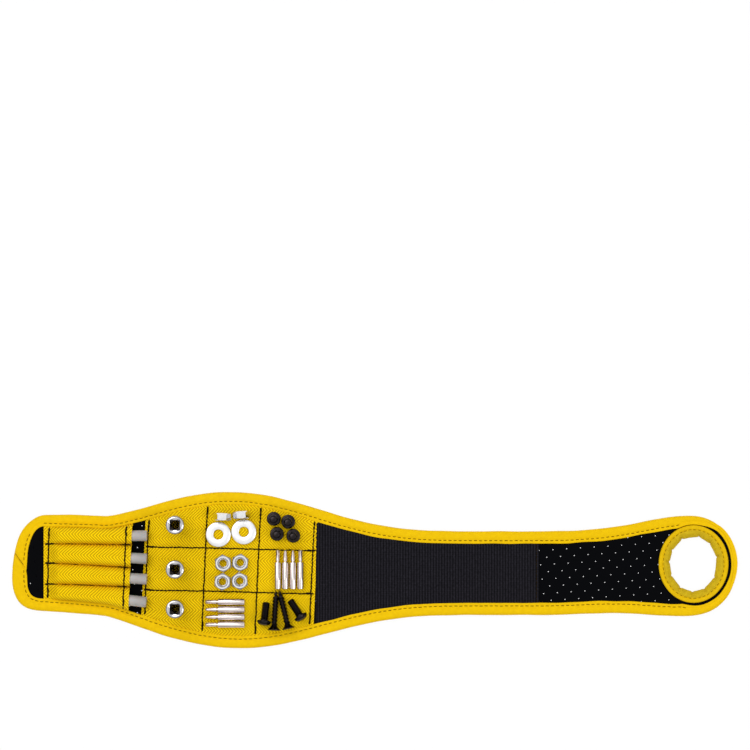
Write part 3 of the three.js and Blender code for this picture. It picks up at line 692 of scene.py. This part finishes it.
def build_binding():
    """One bias tape all round. Its last end laps diagonally over its first at the pocket end's tip."""
    s = np.arange(-LAP / 2, PERIMETER + LAP / 2, 1.6)
    rings, uv = [], []
    for at, width in zip(s, binding_width(s)):
        section = binding_section(width)
        inset, z = section.T
        from_end = max(at - (PERIMETER - LAP * 1.2), 0) / (LAP * 1.7)
        along = at - from_end * (inset - 4) * LAP_SLANT
        lift = LAP_LIFT * smooth_step(from_end, 0.25, 0.8)
        z = BAND_MIDDLE + (z - BAND_MIDDLE) * (1 + lift / BAND_MIDDLE)
        gather = GATHER * np.sin(TURN * (at + 0.7 * inset) / SEAM_PITCH)
        gather = gather * bell(inset - width + BIND_STITCH, 1.6)
        z = z + smooth_step(z, 3.2, 4.2) * (gather + 0.09 * wander(at + 1.3 * inset, 9, 5))
        inset = inset + 0.28 * wander(at, 23, 11) * (inset > width - 2.6)
        inset = inset + 0.2 * wander(at, 31, 12) * (inset < 2)
        point, inward = on_outline(along)
        rings.append(np.column_stack([point + inward * inset[:, None], z]))
        uv.append(unrolled(at, section))
    cut_at_joints(tube("binding", rings, uv, BINDING), ["edge_binding"])


# Thumb ring

RING_CORNERS = (14, 47, 76, 118, 151, 176, 205, 238, 268, 297, 331)
RING_FLANGE = 2.85
RING_STATIONS = 320
RING_STRAIGHTNESS = 0.65
RING_RUN = 20


def ring_section(width):
    """Section of the ring as [distance from its outer edge, height], round from the outer edge."""
    return np.array([
        (0, 3.0), (0, 4.2), (0.12, 4.75), (0.5, 5.05), (1.2, 5.18), (1.9, 5.1), (2.5, 4.8),
        (RING_FLANGE, 4.45), (3.2, 4.55), (3.7, 4.9), (4.4, 5.05), (5.2, 4.85), (6.0, 4.4),
        (width - 1.1, 3.8), (width - 0.5, 3.2), (width - 0.12, 2.6), (width, 2.1),
        (width - 0.15, 1.4), (width - 0.7, 0.7), (width - 1.8, 0.2), (4.4, 0.05), (3.5, 0.1),
        (RING_FLANGE, 0.4), (2.2, 0.1), (0.8, 0), (0.15, 0.3), (0, 1.0),
    ])


def build_ring():
    """Binding gathered round the thumb hole: straight between its creases, with a flat flange."""
    corners = np.radians(RING_CORNERS)
    rings, uv = [], []
    for angle in around(RING_STATIONS):
        before = corners[corners <= angle].max(initial=corners[-1] - TURN)
        after = corners[corners > angle].min(initial=corners[0] + TURN)
        middle, half = (before + after) / 2, (after - before) / 2
        chord = math.cos(half) / math.cos(angle - middle)
        chord = 1 - RING_STRAIGHTNESS + RING_STRAIGHTNESS * chord
        near = min(angle - before, after - angle) * 16
        crease, puff = bell(near, 0.7), 1 - bell(near, 2.2)
        unit = np.array([math.cos(angle), math.sin(angle)])
        outer = np.array(RING) * unit
        inward = np.array(HOLE) * unit * (chord * 1.035) - outer
        width = float(np.linalg.norm(inward))
        inward /= width
        section = ring_section(width)
        inset, z = section.T
        up = z > 2
        z = z + up * smooth_step(inset, 3.4, 5.5) * (0.3 * (puff - 0.5) - 1.1 * crease)
        inset = inset - (inset > width - 0.8) * (0.5 * crease)
        z = z + up * 0.06 * wander(angle * 16, 5, 3)
        rings.append(np.column_stack([HOLE_MIDDLE + outer + inward * inset[:, None], z]))
        uv.append(unrolled(angle * RING_RUN, section))
    uv.append(uv[0] + (TURN * RING_RUN, 0))
    ring_piece = tube("ring_binding", rings, uv, RING_BINDING, closed=True, angle=60)
    dress(ring_piece, "thumb_end", "thumb_ring")


# Magnet panel

QUILT_PUCKER, PUCKER_PITCH, PUCKER_REACH = 0.1, 2.9, 2.4


def column_line(k, y):
    return COLUMN_LINES[k] + COLUMN_SLANT * y


def pillow(value, lines, power=4):
    """How far a quilted surface has risen between the lines it is drawn down at."""
    risen = np.zeros_like(value)
    for low, high in zip(lines, lines[1:]):
        share = 2 * (value - low) / (high - low) - 1
        inside = (value >= low) & (value <= high)
        risen = np.where(inside, 1 - np.abs(share) ** power, risen)
    return risen


def canvas_top(x, y):
    """Height of the magnet panel's top."""
    x, y = np.broadcast_arrays(np.asarray(x, float), np.asarray(y, float))
    straight, off = x - COLUMN_SLANT * y, np.abs(y)
    edge = inner_half_width(x)
    share = np.where(off <= ROW_LINE, y / ROW_LINE, 2 * (off - ROW_LINE) / (edge - ROW_LINE) - 1)
    rise = pillow(straight, COLUMN_LINES) * (1 - np.clip(np.abs(share), 0, 1) ** 4)
    column = np.minimum.reduce([np.abs(straight - line) for line in COLUMN_LINES])
    pucker = bell(column, PUCKER_REACH) * np.sin(TURN * y / PUCKER_PITCH)
    pucker = pucker + bell(off - ROW_LINE, PUCKER_REACH) * np.sin(TURN * x / PUCKER_PITCH)
    tuck = smooth_step(off, edge - 0.2, edge + 1.4)
    return HEM_TOP + (CROWN_TOP - HEM_TOP) * rise + QUILT_PUCKER * pucker * (1 - tuck) - 0.75 * tuck


def build_canvas():
    def top(x, ys):
        rim = smooth_step(x, PANEL_START + 1.1, PANEL_START) + smooth_step(x, PANEL_END - 0.9, PANEL_END)
        return canvas_top(x, ys) - 0.3 * rim

    xs = np.unique(np.round(np.concatenate([
        np.linspace(PANEL_START, PANEL_END, 134), np.linspace(PANEL_START, PANEL_START + 1.1, 4),
    ]), 3))
    whole = layer("canvas", xs, top, lambda top: top - CANVAS_THICK, CANVAS, margin=1.6, count=116)
    lean_ends(whole, (PANEL_START, 8), (PANEL_END, 8))
    for part in cut_at_joints(whole, ["canvas_left", "canvas_middle", "canvas_right"]):
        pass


# Pocket panel and sticks

STICK_RADIUS, STICK_LENGTH = 3.5, 54.6
STICK_REACH = 3.4
STICK_START = 31.1
STICK_AXIS_Z, STICK_SLOPE = 7.3, 0.042
STICK_OFFSETS = (17.95, 6.6, -6.6, -17.95)
STICK_SPLAY = 3.4
POCKET_FABRIC = 0.7


def stick_axis(k, x):
    """Middle of a stick at a place along the straight band: to the side, and up."""
    along = (x - STICK_START) / STICK_LENGTH
    outer = k in (0, 3)
    y = STICK_OFFSETS[k] + (STICK_SPLAY * along * np.sign(STICK_OFFSETS[k]) if outer else 0)
    first, last = lay(STICK_START), lay(STICK_START + STICK_LENGTH)
    y += first + (last - first) * along - lay(x)
    return y, STICK_AXIS_Z + (x - STICK_START) * STICK_SLOPE


def pocket_seam(k, x):
    """Where a seam between two channels is across the straight band, from its places at both ends."""
    share = (x - POCKET_START) / (POCKET_MOUTH - POCKET_START)
    first, last = ((12.2, 15.1), (-0.1, 0.2), (-13.8, -12.2))[k]
    return first + (last - first) * share


def pocket_lift(x):
    return smooth_step(x, POCKET_START + 2.2, POCKET_START + 11)


def pocket_top(x, y):
    """Height of the pocket's top: over the sticks, and down at the seams."""
    y = np.asarray(y, float)
    foot = BASE_TOP + POCKET_FABRIC
    edge = float(inner_half_width(x))
    seams = [edge, *(pocket_seam(k, x) for k in range(3)), -edge]
    z = np.full_like(y, foot)
    for k in range(4):
        axis_y, axis_z = stick_axis(k, max(x, STICK_START))
        radius = STICK_RADIUS + POCKET_FABRIC
        high, low = seams[k], seams[k + 1]
        top = axis_z + radius - foot
        inside = (y <= high) & (y >= low)
        over = np.sqrt(np.maximum(radius ** 2 - (y - axis_y) ** 2, 0)) + axis_z - foot
        left = np.clip((high - y) / max(high - axis_y, 1), 0, 1)
        right = np.clip((y - low) / max(axis_y - low, 1), 0, 1)
        slope = np.where(y > axis_y, left, right)
        skirt = top * (1 - (1 - slope) ** 4) ** 0.62
        arch = np.maximum(np.where(np.abs(y - axis_y) < radius * 0.8, over, 0), skirt)
        z = np.where(inside, foot + arch * pocket_lift(x), z)
    edge_tuck = smooth_step(np.abs(y), edge - 0.3, edge + 1.2)
    return z - 0.45 * edge_tuck


def build_pocket():
    def top(x, ys):
        cross = 0.12 * bell(x - POCKET_START - 2.4, 1.5) * np.sin(TURN * ys / PUCKER_PITCH)
        return pocket_top(x, ys) + cross

    xs = np.linspace(POCKET_START, POCKET_MOUTH, 72)
    panel = layer("pocket", xs, top, lambda top: top - POCKET_FABRIC, CANVAS, margin=1.5, count=150)
    lean_ends(panel, (POCKET_MOUTH, 24))
    dress(panel, "pocket_end", "pocket_panel")


def build_sticks():
    end = STICK_LENGTH + STICK_REACH
    profile = ((0.02, 0), (2.9, 0), (3.3, 0.15), (STICK_RADIUS, 0.6),
               (STICK_RADIUS, end - 0.6), (3.3, end - 0.15), (2.9, end), (0.02, end))
    for k in range(1, 5):
        foot, way = lie_of(f"stick_{k}")
        if way[0] < 0:
            foot, way = foot + way * STICK_LENGTH, -way
        rod = body(f"rod_{k}", [ring(*part, around(40)) for part in profile], STICK)
        stand_in(rod, f"stick_{k}", "stick", foot, way)


# Tapes


def build_loop_tape():
    def top(x, ys):
        heights = TAPE_TOP - 0.7 * smooth_step(np.abs(ys), ys[0] - 3.4, ys[0] - 1.0)
        heights = heights + 0.05 * wander(ys + x, 14, 8)
        heights = heights - 0.4 * smooth_step(x, TAPE_END - 0.7, TAPE_END)
        heights = heights - 0.25 * bell(x - TAPE_END + 1.7, 0.6)
        return heights - 0.6 * smooth_step(-x, -TAPE_START - 2.5, -TAPE_START)

    def bottom(top):
        return np.full_like(top, TAPE_BOTTOM)

    xs = np.append(np.linspace(TAPE_START, TAPE_END - 3, 72), np.linspace(TAPE_END - 2.7, TAPE_END, 10))
    whole = layer("loop_tape", xs, top, bottom, LOOP, margin=1.5, count=60)
    for part in cut_at_joints(whole, [f"loop_tape_{k}" for k in (1, 2, 3)]):
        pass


HOOK_START, HOOK_LENGTH, HOOK_WIDTH, HOOK_CORNER = 14, 56, 40, 8


def build_hook_tape():
    """A patch with round corners on the back of the pocket end."""
    x = HOOK_START + HOOK_LENGTH / 2
    inner = np.array([HOOK_LENGTH, HOOK_WIDTH]) / 2 - HOOK_CORNER
    outline = []
    for turn, side in enumerate(((1, 1), (-1, 1), (-1, -1), (1, -1))):
        middle = (x, float(lay(x))) + side * inner
        for angle in np.linspace(0, math.pi / 2, 9) + turn * math.pi / 2:
            outline.append(middle + HOOK_CORNER * np.array([math.cos(angle), math.sin(angle)]))
    tape = plate("hook_patch", outline, [], [], 0.0, 0.6, HOOK)
    dress(tape, "pocket_end", "hook_tape")


# Stitches


class Stitches:
    """Stitches that are collected for each joint's stretch of the band and made into one mesh each."""

    def __init__(self, name, material):
        self.name, self.material, self.made = name, material, []

    def run(self, path, pitch, length, radius, lean=0.0):
        """Stitches along a line of points."""
        path = np.asarray(path, float)
        at = lengths_along(path)
        count = max(int(round(at[-1] / pitch)), 1)
        step = at[-1] / count
        for k in range(count):
            low, high = k * step + (step - length) / 2, k * step + (step + length) / 2
            ends = [np.array([np.interp(t, at, path[:, i]) for i in range(3)]) for t in (low, high)]
            side = np.cross(ends[1] - ends[0], (0, 0, 1))
            side /= np.linalg.norm(side)
            ends[1] = ends[1] + side * lean * (1 if k % 2 else -1)
            self.made.append((ends[0], ends[1], radius))

    def build(self):
        for k, (low, high) in stretches():
            mine = [s for s in self.made if low <= (s[0][0] + s[1][0]) / 2 < high]
            if not mine:
                continue
            points, faces, corners = [], [], []
            for stitch in mine:
                stitch_mesh(*stitch, points, faces, corners)
            piece = new_piece(f"{self.name}_{k + 1}", np.array(points), faces, corners, self.material, 60)
            bend(piece)


# A stitch's shape: shares of its length and of its radius, and how far it rises in radii
STITCH = ((0.0, 0.55, -1.0), (0.12, 0.85, -0.35), (0.32, 1, 0.1), (0.68, 1, 0.1), (0.88, 0.85, -0.35),
          (1.0, 0.55, -1.0))
STITCH_SIDES = 7


def stitch_mesh(start, end, radius, points, faces, corners):
    """A thread between two points that dips into the cloth at both."""
    first = len(points)
    way = end - start
    length = np.linalg.norm(way)
    way = way / length
    side = np.cross(way, (0, 0, 1))
    side /= np.linalg.norm(side)
    up = np.cross(side, way)
    for along, wide, rise in STITCH:
        middle = start + way * length * along + up * radius * rise
        for angle in around(STITCH_SIDES):
            points.append(middle + radius * wide * (side * math.cos(angle) + up * math.sin(angle)))
    for i in range(len(STITCH) - 1):
        a, b = first + i * STITCH_SIDES, first + (i + 1) * STITCH_SIDES
        for j in range(STITCH_SIDES):
            n = (j + 1) % STITCH_SIDES
            faces.append((a + j, b + j, b + n, a + n))
            for k, turn in ((i, j), (i + 1, j), (i + 1, j + 1), (i, j + 1)):
                corners.append((STITCH[k][0] * length, turn * radius * TURN / STITCH_SIDES))
    last = first + (len(STITCH) - 1) * STITCH_SIDES
    faces.append(tuple(range(first, first + STITCH_SIDES)))
    faces.append(tuple(range(last, last + STITCH_SIDES))[::-1])
    corners += [(0, 0)] * (2 * STITCH_SIDES)


def level(plan, z):
    """A line of points at one height."""
    return np.column_stack([plan, np.full(len(plan), z)])


def on_surface(plan, height, lift):
    """A line of points on a surface, from its plan on the straight band."""
    plan = np.asarray(plan, float)
    z = np.array([float(height(x, y)) for x, y in plan])
    return np.column_stack([plan[:, 0], plan[:, 1] + lay(plan[:, 0]), z + lift])


def line_between(start, end, waver, seed, count=60):
    """A nearly straight seam between two points of the plan."""
    share = np.linspace(0, 1, count)
    start, end = np.array(start, float), np.array(end, float)
    way = end - start
    length = np.hypot(*way)
    side = np.array([-way[1], way[0]]) / length
    off = waver * wander(share * length, 13, seed)
    return start + share[:, None] * way + off[:, None] * side


QUILTING = dict(pitch=2.6, length=2.9, radius=0.5, lean=0.14)
TACK_LENGTH = 6.5


def build_black_stitches():
    black = Stitches("black_thread", BLACK_THREAD)

    def seam(start, end, height, seed, waver=0.3):
        """A seam with a second row of stitches at both ends."""
        plan = line_between(start, end, waver, seed)
        black.run(on_surface(plan, height, 0.25), **QUILTING)
        share = np.linspace(0, 1, len(plan))
        for near in (share, 1 - share):
            tack = plan[near * math.dist(start, end) < TACK_LENGTH] + (0.3, 0.35)
            black.run(on_surface(tack, height, 0.45), **QUILTING)

    for k in range(4):
        ends = []
        for y, side in ((40, 1), (-40, -1)):
            reach = side * (float(inner_half_width(column_line(k, y))) - 0.8)
            ends.append((column_line(k, reach), reach))
        seam(*ends, canvas_top, 20 + k)
    for k, y in enumerate((ROW_LINE, -ROW_LINE)):
        seam((column_line(0, y) - 1.2, y), (column_line(3, y) + 1.6, y), canvas_top, 30 + k)

    for k, short in enumerate((0.5, 2.2, 3.0)):
        ends = [(x, pocket_seam(k, x)) for x in (POCKET_START + 0.8, POCKET_MOUTH - short)]
        seam(*ends, pocket_top, 40 + k, 0.25)
    for k, (x, lean) in enumerate(((24.6, 1.0), (74.6, 2.2))):
        reach = float(inner_half_width(x)) - 0.6
        seam((x + lean / 2, reach), (x - lean / 2, -reach), pocket_top, 50 + k, 0.45)

    edge_x = TAPE_END - 1.7
    reach = float(inner_half_width(edge_x)) - 0.4
    tape = line_between((edge_x, reach), (edge_x, -reach), 0.12, 60)
    black.run(on_surface(tape, lambda x, y: 4.3, 0), pitch=2.4, length=2.0, radius=0.3, lean=0.05)
    black.build()


# Heights of the binding's seams: on the front, of the close stitches over the lap that paint its fold's
# shadow line, on the back and on the ring
SEAM_Z, LAP_Z, BACK_Z, RING_Z = 4.12, 5.1, 0.18, 4.45


def build_binding_stitches():
    brown = Stitches("brown_thread", BROWN_THREAD)
    s = np.arange(2, PERIMETER - 2, 1.0)
    point, inward = on_outline(s)
    widths = binding_width(s)
    plan = point + inward * (widths - BIND_STITCH + 0.1 * wander(s, 17, 4))[:, None]
    wide = widths > BIND_WIDTH - 0.8
    for stretch in np.split(np.arange(len(s)), np.flatnonzero(np.diff(wide)) + 1):
        if wide[stretch[0]]:
            brown.run(level(plan[stretch], SEAM_Z), pitch=SEAM_PITCH, length=2.3, radius=0.24, lean=0.1)
    # Painted shadow: a close row of brown stitches along the lap's folded edge stands in for the shadow
    # line at the fold.
    inset = np.linspace(0.7, BIND_WIDTH - 0.9, 12)
    point, inward = on_outline(PERIMETER + LAP / 2 - 0.4 - (inset - 4) * LAP_SLANT)
    fold_shadow_line = point + inward * inset[:, None]
    brown.run(level(fold_shadow_line, LAP_Z), pitch=1.6, length=1.5, radius=0.17)
    brown.run(level(plan, BACK_Z), pitch=SEAM_PITCH, length=2.5, radius=0.25, lean=0.1)
    loop = HOLE_MIDDLE + ellipse((RING[0] - RING_FLANGE, RING[1] - RING_FLANGE), 120)
    loop = np.concatenate([loop, loop[:1]])
    brown.run(level(loop, RING_Z), pitch=3.1, length=2.4, radius=0.2, lean=0.1)
    brown.build()


# Turned and threaded parts, each about its own Z in millimetres

ANGLES = around(48)
# Number of sides, and how far the corners reach when it is 1 to the middle of a side
SQUARE, HEX = (4, 1.3), (6, 1.13)


def off_flat(sides):
    """How far each angle is from the middle of the nearest of so many flat sides."""
    step = TURN / sides
    return np.mod(ANGLES + step / 2, step) - step / 2


def ring(radius, height, angles=ANGLES):
    """A ring of points. Its radius and its height may differ from point to point."""
    return np.column_stack([radius * np.cos(angles), radius * np.sin(angles), np.full(len(angles), height)])


def rings_of(*parts):
    """Rings from radius and height, with SQUARE or HEX after them where they aren't round."""
    made = []
    for radius, height, *shape in parts:
        for sides, reach in shape:
            radius = radius * np.minimum(1 / np.cos(off_flat(sides)), reach)
        made.append(ring(radius, height))
    return made


def body(name, rings, material, closed=False, angle=35):
    """A skin over rings, which runs back to the first one if it is closed."""
    uv = [[(0.5 * k, 0.3 * i) for k in range(len(rings[0]) + 1)] for i in range(len(rings) + 1)]
    return tube(name, np.array(rings) * MM, uv, material, closed, angle, own=True)


def threaded(radius_at, low, high, depth, pitch, steps):
    """Rings of a screw thread: their radius follows the helix."""
    rings = []
    for z in np.arange(low, high, pitch / steps):
        tooth = np.abs(np.mod(z / pitch - ANGLES / TURN, 1) - 0.5) * 2
        rings.append(ring(radius_at(z) - depth * tooth ** 1.2, z))
    return rings


def stand_in(piece, node, slot, place, way, turn=0):
    """A modelled piece takes a CAD node's place on its body, its Z along a direction, its X uppermost."""
    z = Vector(way).normalized()
    if abs(z.z) > 0.999:
        lie = Matrix.Rotation(math.radians(turn), 3, "Z")
    else:
        y = z.cross(Vector((0, 0, 1))).normalized()
        lie = Matrix((y.cross(z), y, z)).transposed()
    piece.matrix_world = Matrix.Translation(Vector(row(place))) @ lie.to_4x4()
    dress(piece, f"{node}_body", node)


def lie_of(node, thin=False):
    """Where a turned CAD node lies: the middle of its wider end, and the direction of its axis."""
    points = np.array([v.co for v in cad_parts[node].data.vertices])
    corners = np.unique(np.round(points / MM + (LENGTH / 2, 0, 0), 4), axis=0)
    middle = corners.mean(0)
    _, _, axes = np.linalg.svd(corners - middle)
    way = axes[2] if thin else axes[0]
    along = (corners - middle) @ way
    off = np.linalg.norm(corners - middle - along[:, None] * way, axis=1)
    quarter = (along.max() - along.min()) / 4
    if off[along < along.min() + quarter].max() < off[along > along.max() - quarter].max():
        way, along = -way, -along
    return middle + way * along.min(), way


def standing(node):
    """The middle of a standing CAD node's foot, and the direction up."""
    low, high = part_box(node)
    middle = (low + high) / 2 / MM
    return (middle.x + LENGTH / 2, middle.y, low.z / MM), (0, 0, 1)


BORE_RADIUS, BORE_BOTTOM, BORE_TOP = 4.2, 0.5, 24.3


def socket(name):
    """A socket on its hexagon end, with its drive up, and its bore in a near-black metal that paints the
    shade deep inside it.
    """
    piece = body(name, rings_of(
        (4.3, 0), (4.65, 0.15), (4.8, 0.6), (4.8, 11.3), (4.9, 11.6), (5.75, 12.2), (5.9, 12.5),
        (5.9, 24.1), (5.82, 24.4), (5.6, 24.62), (5.3, 24.76), (4.9, 24.93), (4.7, 24.97), (4.6, 24.95),
        (3.3, 24.6, SQUARE), (3.05, 24.3, SQUARE), (3.05, 20, SQUARE), (3.05, 16.2, SQUARE),
        (2.8, 16.0), (2.75, 15.8), (2.75, 11.3), (2.8, 11.0),
        (3.0, 10.8, HEX), (3.0, 0.8, HEX), (3.2, 0.2, HEX), (3.9, 0.0),
    ), CHROME, True, 30)
    piece.data.materials.append(PAINTED_BORE_SHADE)
    # The bore's faces below the drive get the painted shade.
    for face in piece.data.polygons:
        deep = BORE_BOTTOM * MM < face.center.z < BORE_TOP * MM
        if deep and math.hypot(*face.center.xy) < BORE_RADIUS * MM:
            face.material_index = 1
    return piece


def washer(name):
    return body(name, rings_of(
        (3.45, 0.0), (7.9, 0.0), (8.08, 0.15), (8.1, 0.4), (8.1, 1.1), (8.06, 1.35), (7.85, 1.5),
        (3.6, 1.5), (3.36, 1.38), (3.3, 1.1), (3.3, 0.2),
    ), ZINC, True, 50)


NUT_FACE, NUT_THICK, NUT_CROWN = 5, 4.8, 4.65
NUT_TURNS = {"1": 4, "2": -5, "3": -3, "4": 5}


def nut(name):
    """A chamfered hexagon nut with a thread in its hole, its foot at 0."""
    hexagon = NUT_FACE / np.cos(off_flat(6))
    drop = (hexagon - NUT_CROWN) * 0.7
    rings = rings_of((NUT_CROWN, 0), (hexagon, drop), (hexagon, NUT_THICK - drop), (NUT_CROWN, NUT_THICK),
                     (3.65, NUT_THICK), (3.5, NUT_THICK - 0.08), (2.85, NUT_THICK - 0.8))
    rings += threaded(lambda z: 2.9, 0.5, NUT_THICK - 1.1, 0.5, 0.8, 6)[::-1]
    return body(name, rings + rings_of((2.95, 0.1), (3.15, 0)), NUT_STEEL, True, 28)


BOLT_LENGTH, BOLT_CHAMFER_START = 15, 14.3


def bolt(name):
    """A button head bolt, its head's top at 0 and its shank up, with a hexagon socket."""
    rings = rings_of(
        (0.05, 1.5), (1.45, 1.6, HEX), (1.5, 0.15, HEX), (1.9, 0.0), (2.6, 0.1), (3.4, 0.5), (4.0, 1.1),
        (4.4, 1.9), (4.55, 2.4), (4.5, 2.62), (4.3, 2.82), (3.8, 2.98), (3.3, 3.04), (2.9, 3.0),
        (2.6, 3.1), (2.55, 3.6))
    rings += threaded(lambda z: 2.65 - max(z - BOLT_CHAMFER_START, 0) * 0.7, 3.9, 14.6, 0.55, 1.25, 8)
    rings += rings_of((1.95, 14.85), (1.7, BOLT_LENGTH), (0.05, BOLT_LENGTH))
    return body(name, rings, BLACK_STEEL, angle=40)


SCREW_RADIUS, SCREW_TIP, SCREW_POINT = 2.15, 26.4, 6


def screw(name):
    """A drywall screw, its head's top at 0 and its point up, with a cross recess."""
    cross = 0.45 + 0.55 * np.abs(np.cos(2 * ANGLES)) ** 6
    rings = rings_of((0.05, 1.7), (1.3 * cross, 1.6), (2.1 * cross, 0.1), (3.9, 0.0), (4.15, 0.12),
                     (4.2, 0.5), (3.8, 0.9), (3.0, 1.6), (2.2, 2.4), (1.8, 3.2))

    def radius_at(z):
        return SCREW_RADIUS * min(1, ((SCREW_TIP - z) / SCREW_POINT) ** 0.8 + 0.05)

    rings += threaded(radius_at, 3.6, SCREW_TIP - 0.4, 0.8, 2.3, 10)
    return body(name, rings + rings_of((0.03, SCREW_TIP)), BLACK_STEEL, angle=45)


BIT_NECK, BIT_TIP_START, BIT_TIP_LENGTH = 1.34, 20.6, 4.0
BIT_FLUTES = {"1": 4, "2": 2, "3": 3, "4": 4}


def bit(name):
    """A precision bit: a round shank from 0, a groove at its shoulder and a fluted tip."""
    rings = rings_of(
        (0.05, 0), (1.9, 0), (2.08, 0.12), (2.12, 0.3), (2.12, 17.0), (2.05, 17.15), (1.0, 17.2),
        (0.95, 18.1), (1.42, 18.2), (1.42, 19.0), (1.36, 19.4), (BIT_NECK, BIT_TIP_START))
    fluted = 0.85 + 0.15 * np.cos(BIT_FLUTES[name[-1]] * ANGLES)
    for share in (0.2, 0.5, 0.8, 1.0):
        shape = (1 - share) + fluted * share
        rings.append(ring((BIT_NECK - 0.06 * share) * shape, BIT_TIP_START + BIT_TIP_LENGTH * share))
    return body(name, rings + rings_of((0.95 * fluted, 25.2), (0.05, 25.4)), BIT_STEEL, angle=25)


def build_hardware():
    """Rows of kinds: a count, and then what makes one, its name, CAD node and slot, and how it lies."""
    for count, *kinds in (
        (3, (socket, "chrome_socket", "socket", "chrome", standing)),
        (2, (washer, "flat_washer", "washer", "zinc", standing)),
        (4, (nut, "hex_nut", "nut_flat", "zinc", lambda n: (*standing(n), NUT_TURNS[n[-1]]))),
        (2, (nut, "hex_nut_on_edge", "nut_edge", "zinc", lambda n: lie_of(n, thin=True))),
        (4, (bolt, "bolt_up", "bolt_standing", "black_steel", standing)),
        (2, (bolt, "bolt_down", "bolt_lying", "black_steel", lie_of),
            (screw, "wood_screw", "screw", "black_steel", lie_of)),
        (4, (bit, "driver_bit_along", "bit_along", "bit_steel", lie_of)),
        (4, (bit, "driver_bit_across", "bit_across", "bit_steel", lie_of)),
    ):
        for k in range(1, count + 1):
            for make, name, node, slot, lie in kinds:
                stand_in(make(f"{name}_{k}"), f"{node}_{k}", slot, *lie(f"{node}_{k}"))


def finish_magnets():
    """The magnets are CAD pieces inside the panel; they only get a finish."""
    for name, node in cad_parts.items():
        if name.startswith("magnet_"):
            node.data.materials.clear()
            node.data.materials.append(MAGNET)


# Stage: a white floor, a large soft light from the upper left and a weaker one from the right

CAMERA_HEIGHT = 2.7
VIEW_WIDTH = 0.4875
AIM = (0.0012, 0.1258)
SENSOR = 36
FLOOR_REACH, FLOOR_LEVEL = 3.0, -0.0004
FLOOR_CLEAR = 0.92


def build_stage():
    """A matt white floor that looks into the white surroundings and lets the lamps' light through.

    It keeps the object's soft shadow, and what the wound band brings below it stays in sight."""
    f = finish("paper")
    kinds, seen = f.path()
    matt = f.node("BsdfDiffuse", {"Color": (0.98, 0.98, 0.98, 1)}).outputs[0]
    clear = f.node("BsdfTransparent", {"Color": (1, 1, 1, 1)}).outputs[0]
    share = f.maths("MAXIMUM", f.maths("MULTIPLY", seen, FLOOR_CLEAR), kinds["Is Shadow Ray"])
    paper = f.end(f.node("MixShader", {0: share, 1: matt, 2: clear}))
    mesh = bpy.data.meshes.new("paper")
    ways = ((-1, -1), (1, -1), (1, 1), (-1, 1))
    corners = [(x * FLOOR_REACH, y * FLOOR_REACH, FLOOR_LEVEL) for x, y in ways]
    mesh.from_pydata(corners, [], [(0, 1, 2, 3)])
    mesh.materials.append(paper)
    show("paper", mesh)


def add_light(name, place, size, power):
    """A square lamp that faces the origin."""
    data = bpy.data.lights.new(name, "AREA")
    data.shape, data.size, data.energy = "SQUARE", size, power
    lamp = show(name, data)
    lamp.location = place
    lamp.rotation_mode = "QUATERNION"
    lamp.rotation_quaternion = (-Vector(place)).to_track_quat("-Z", "Y")


def build_room():
    """Surroundings that look white, and that light the object from bright above to dark at its level."""
    f = Nodes(bpy.data.worlds.new("room"))
    bpy.context.scene.world = f.owner
    way = f.node("TexCoord", {}).outputs["Generated"]
    steep = f.maths("ABSOLUTE", f.node("SeparateXYZ", {0: way}).outputs["Z"])
    limits = {"Value": steep, "From Min": 0.15, "From Max": 0.85, "To Min": 0.1, "To Max": 1.0}
    light = f.node("MapRange", limits, interpolation_type="SMOOTHSTEP").outputs[0]
    strength = f.maths("MAXIMUM", light, f.path()[1])
    f.end(f.node("Background", {"Color": (1, 1, 1, 1), "Strength": strength}), "OutputWorld")


def build_light_and_camera():
    add_light("key", (-1.1, 1.2, 2.6), size=2.2, power=36)
    add_light("fill", (1.7, -0.5, 1.9), size=0.8, power=10)
    build_room()
    data = bpy.data.cameras.new("camera")
    data.sensor_width = SENSOR
    data.lens = SENSOR * CAMERA_HEIGHT / VIEW_WIDTH
    data.clip_start, data.clip_end = 0.1, 10
    camera = show("camera", data)
    camera.location = (*AIM, CAMERA_HEIGHT)
    bpy.context.scene.camera = camera
    bpy.context.scene.view_settings.view_transform = "Standard"


build_light_and_camera()
build_stage()
build_base()
build_binding()
build_ring()
build_canvas()
build_pocket()
build_sticks()
build_loop_tape()
build_hook_tape()
build_black_stitches()
build_binding_stitches()
build_hardware()
finish_magnets()
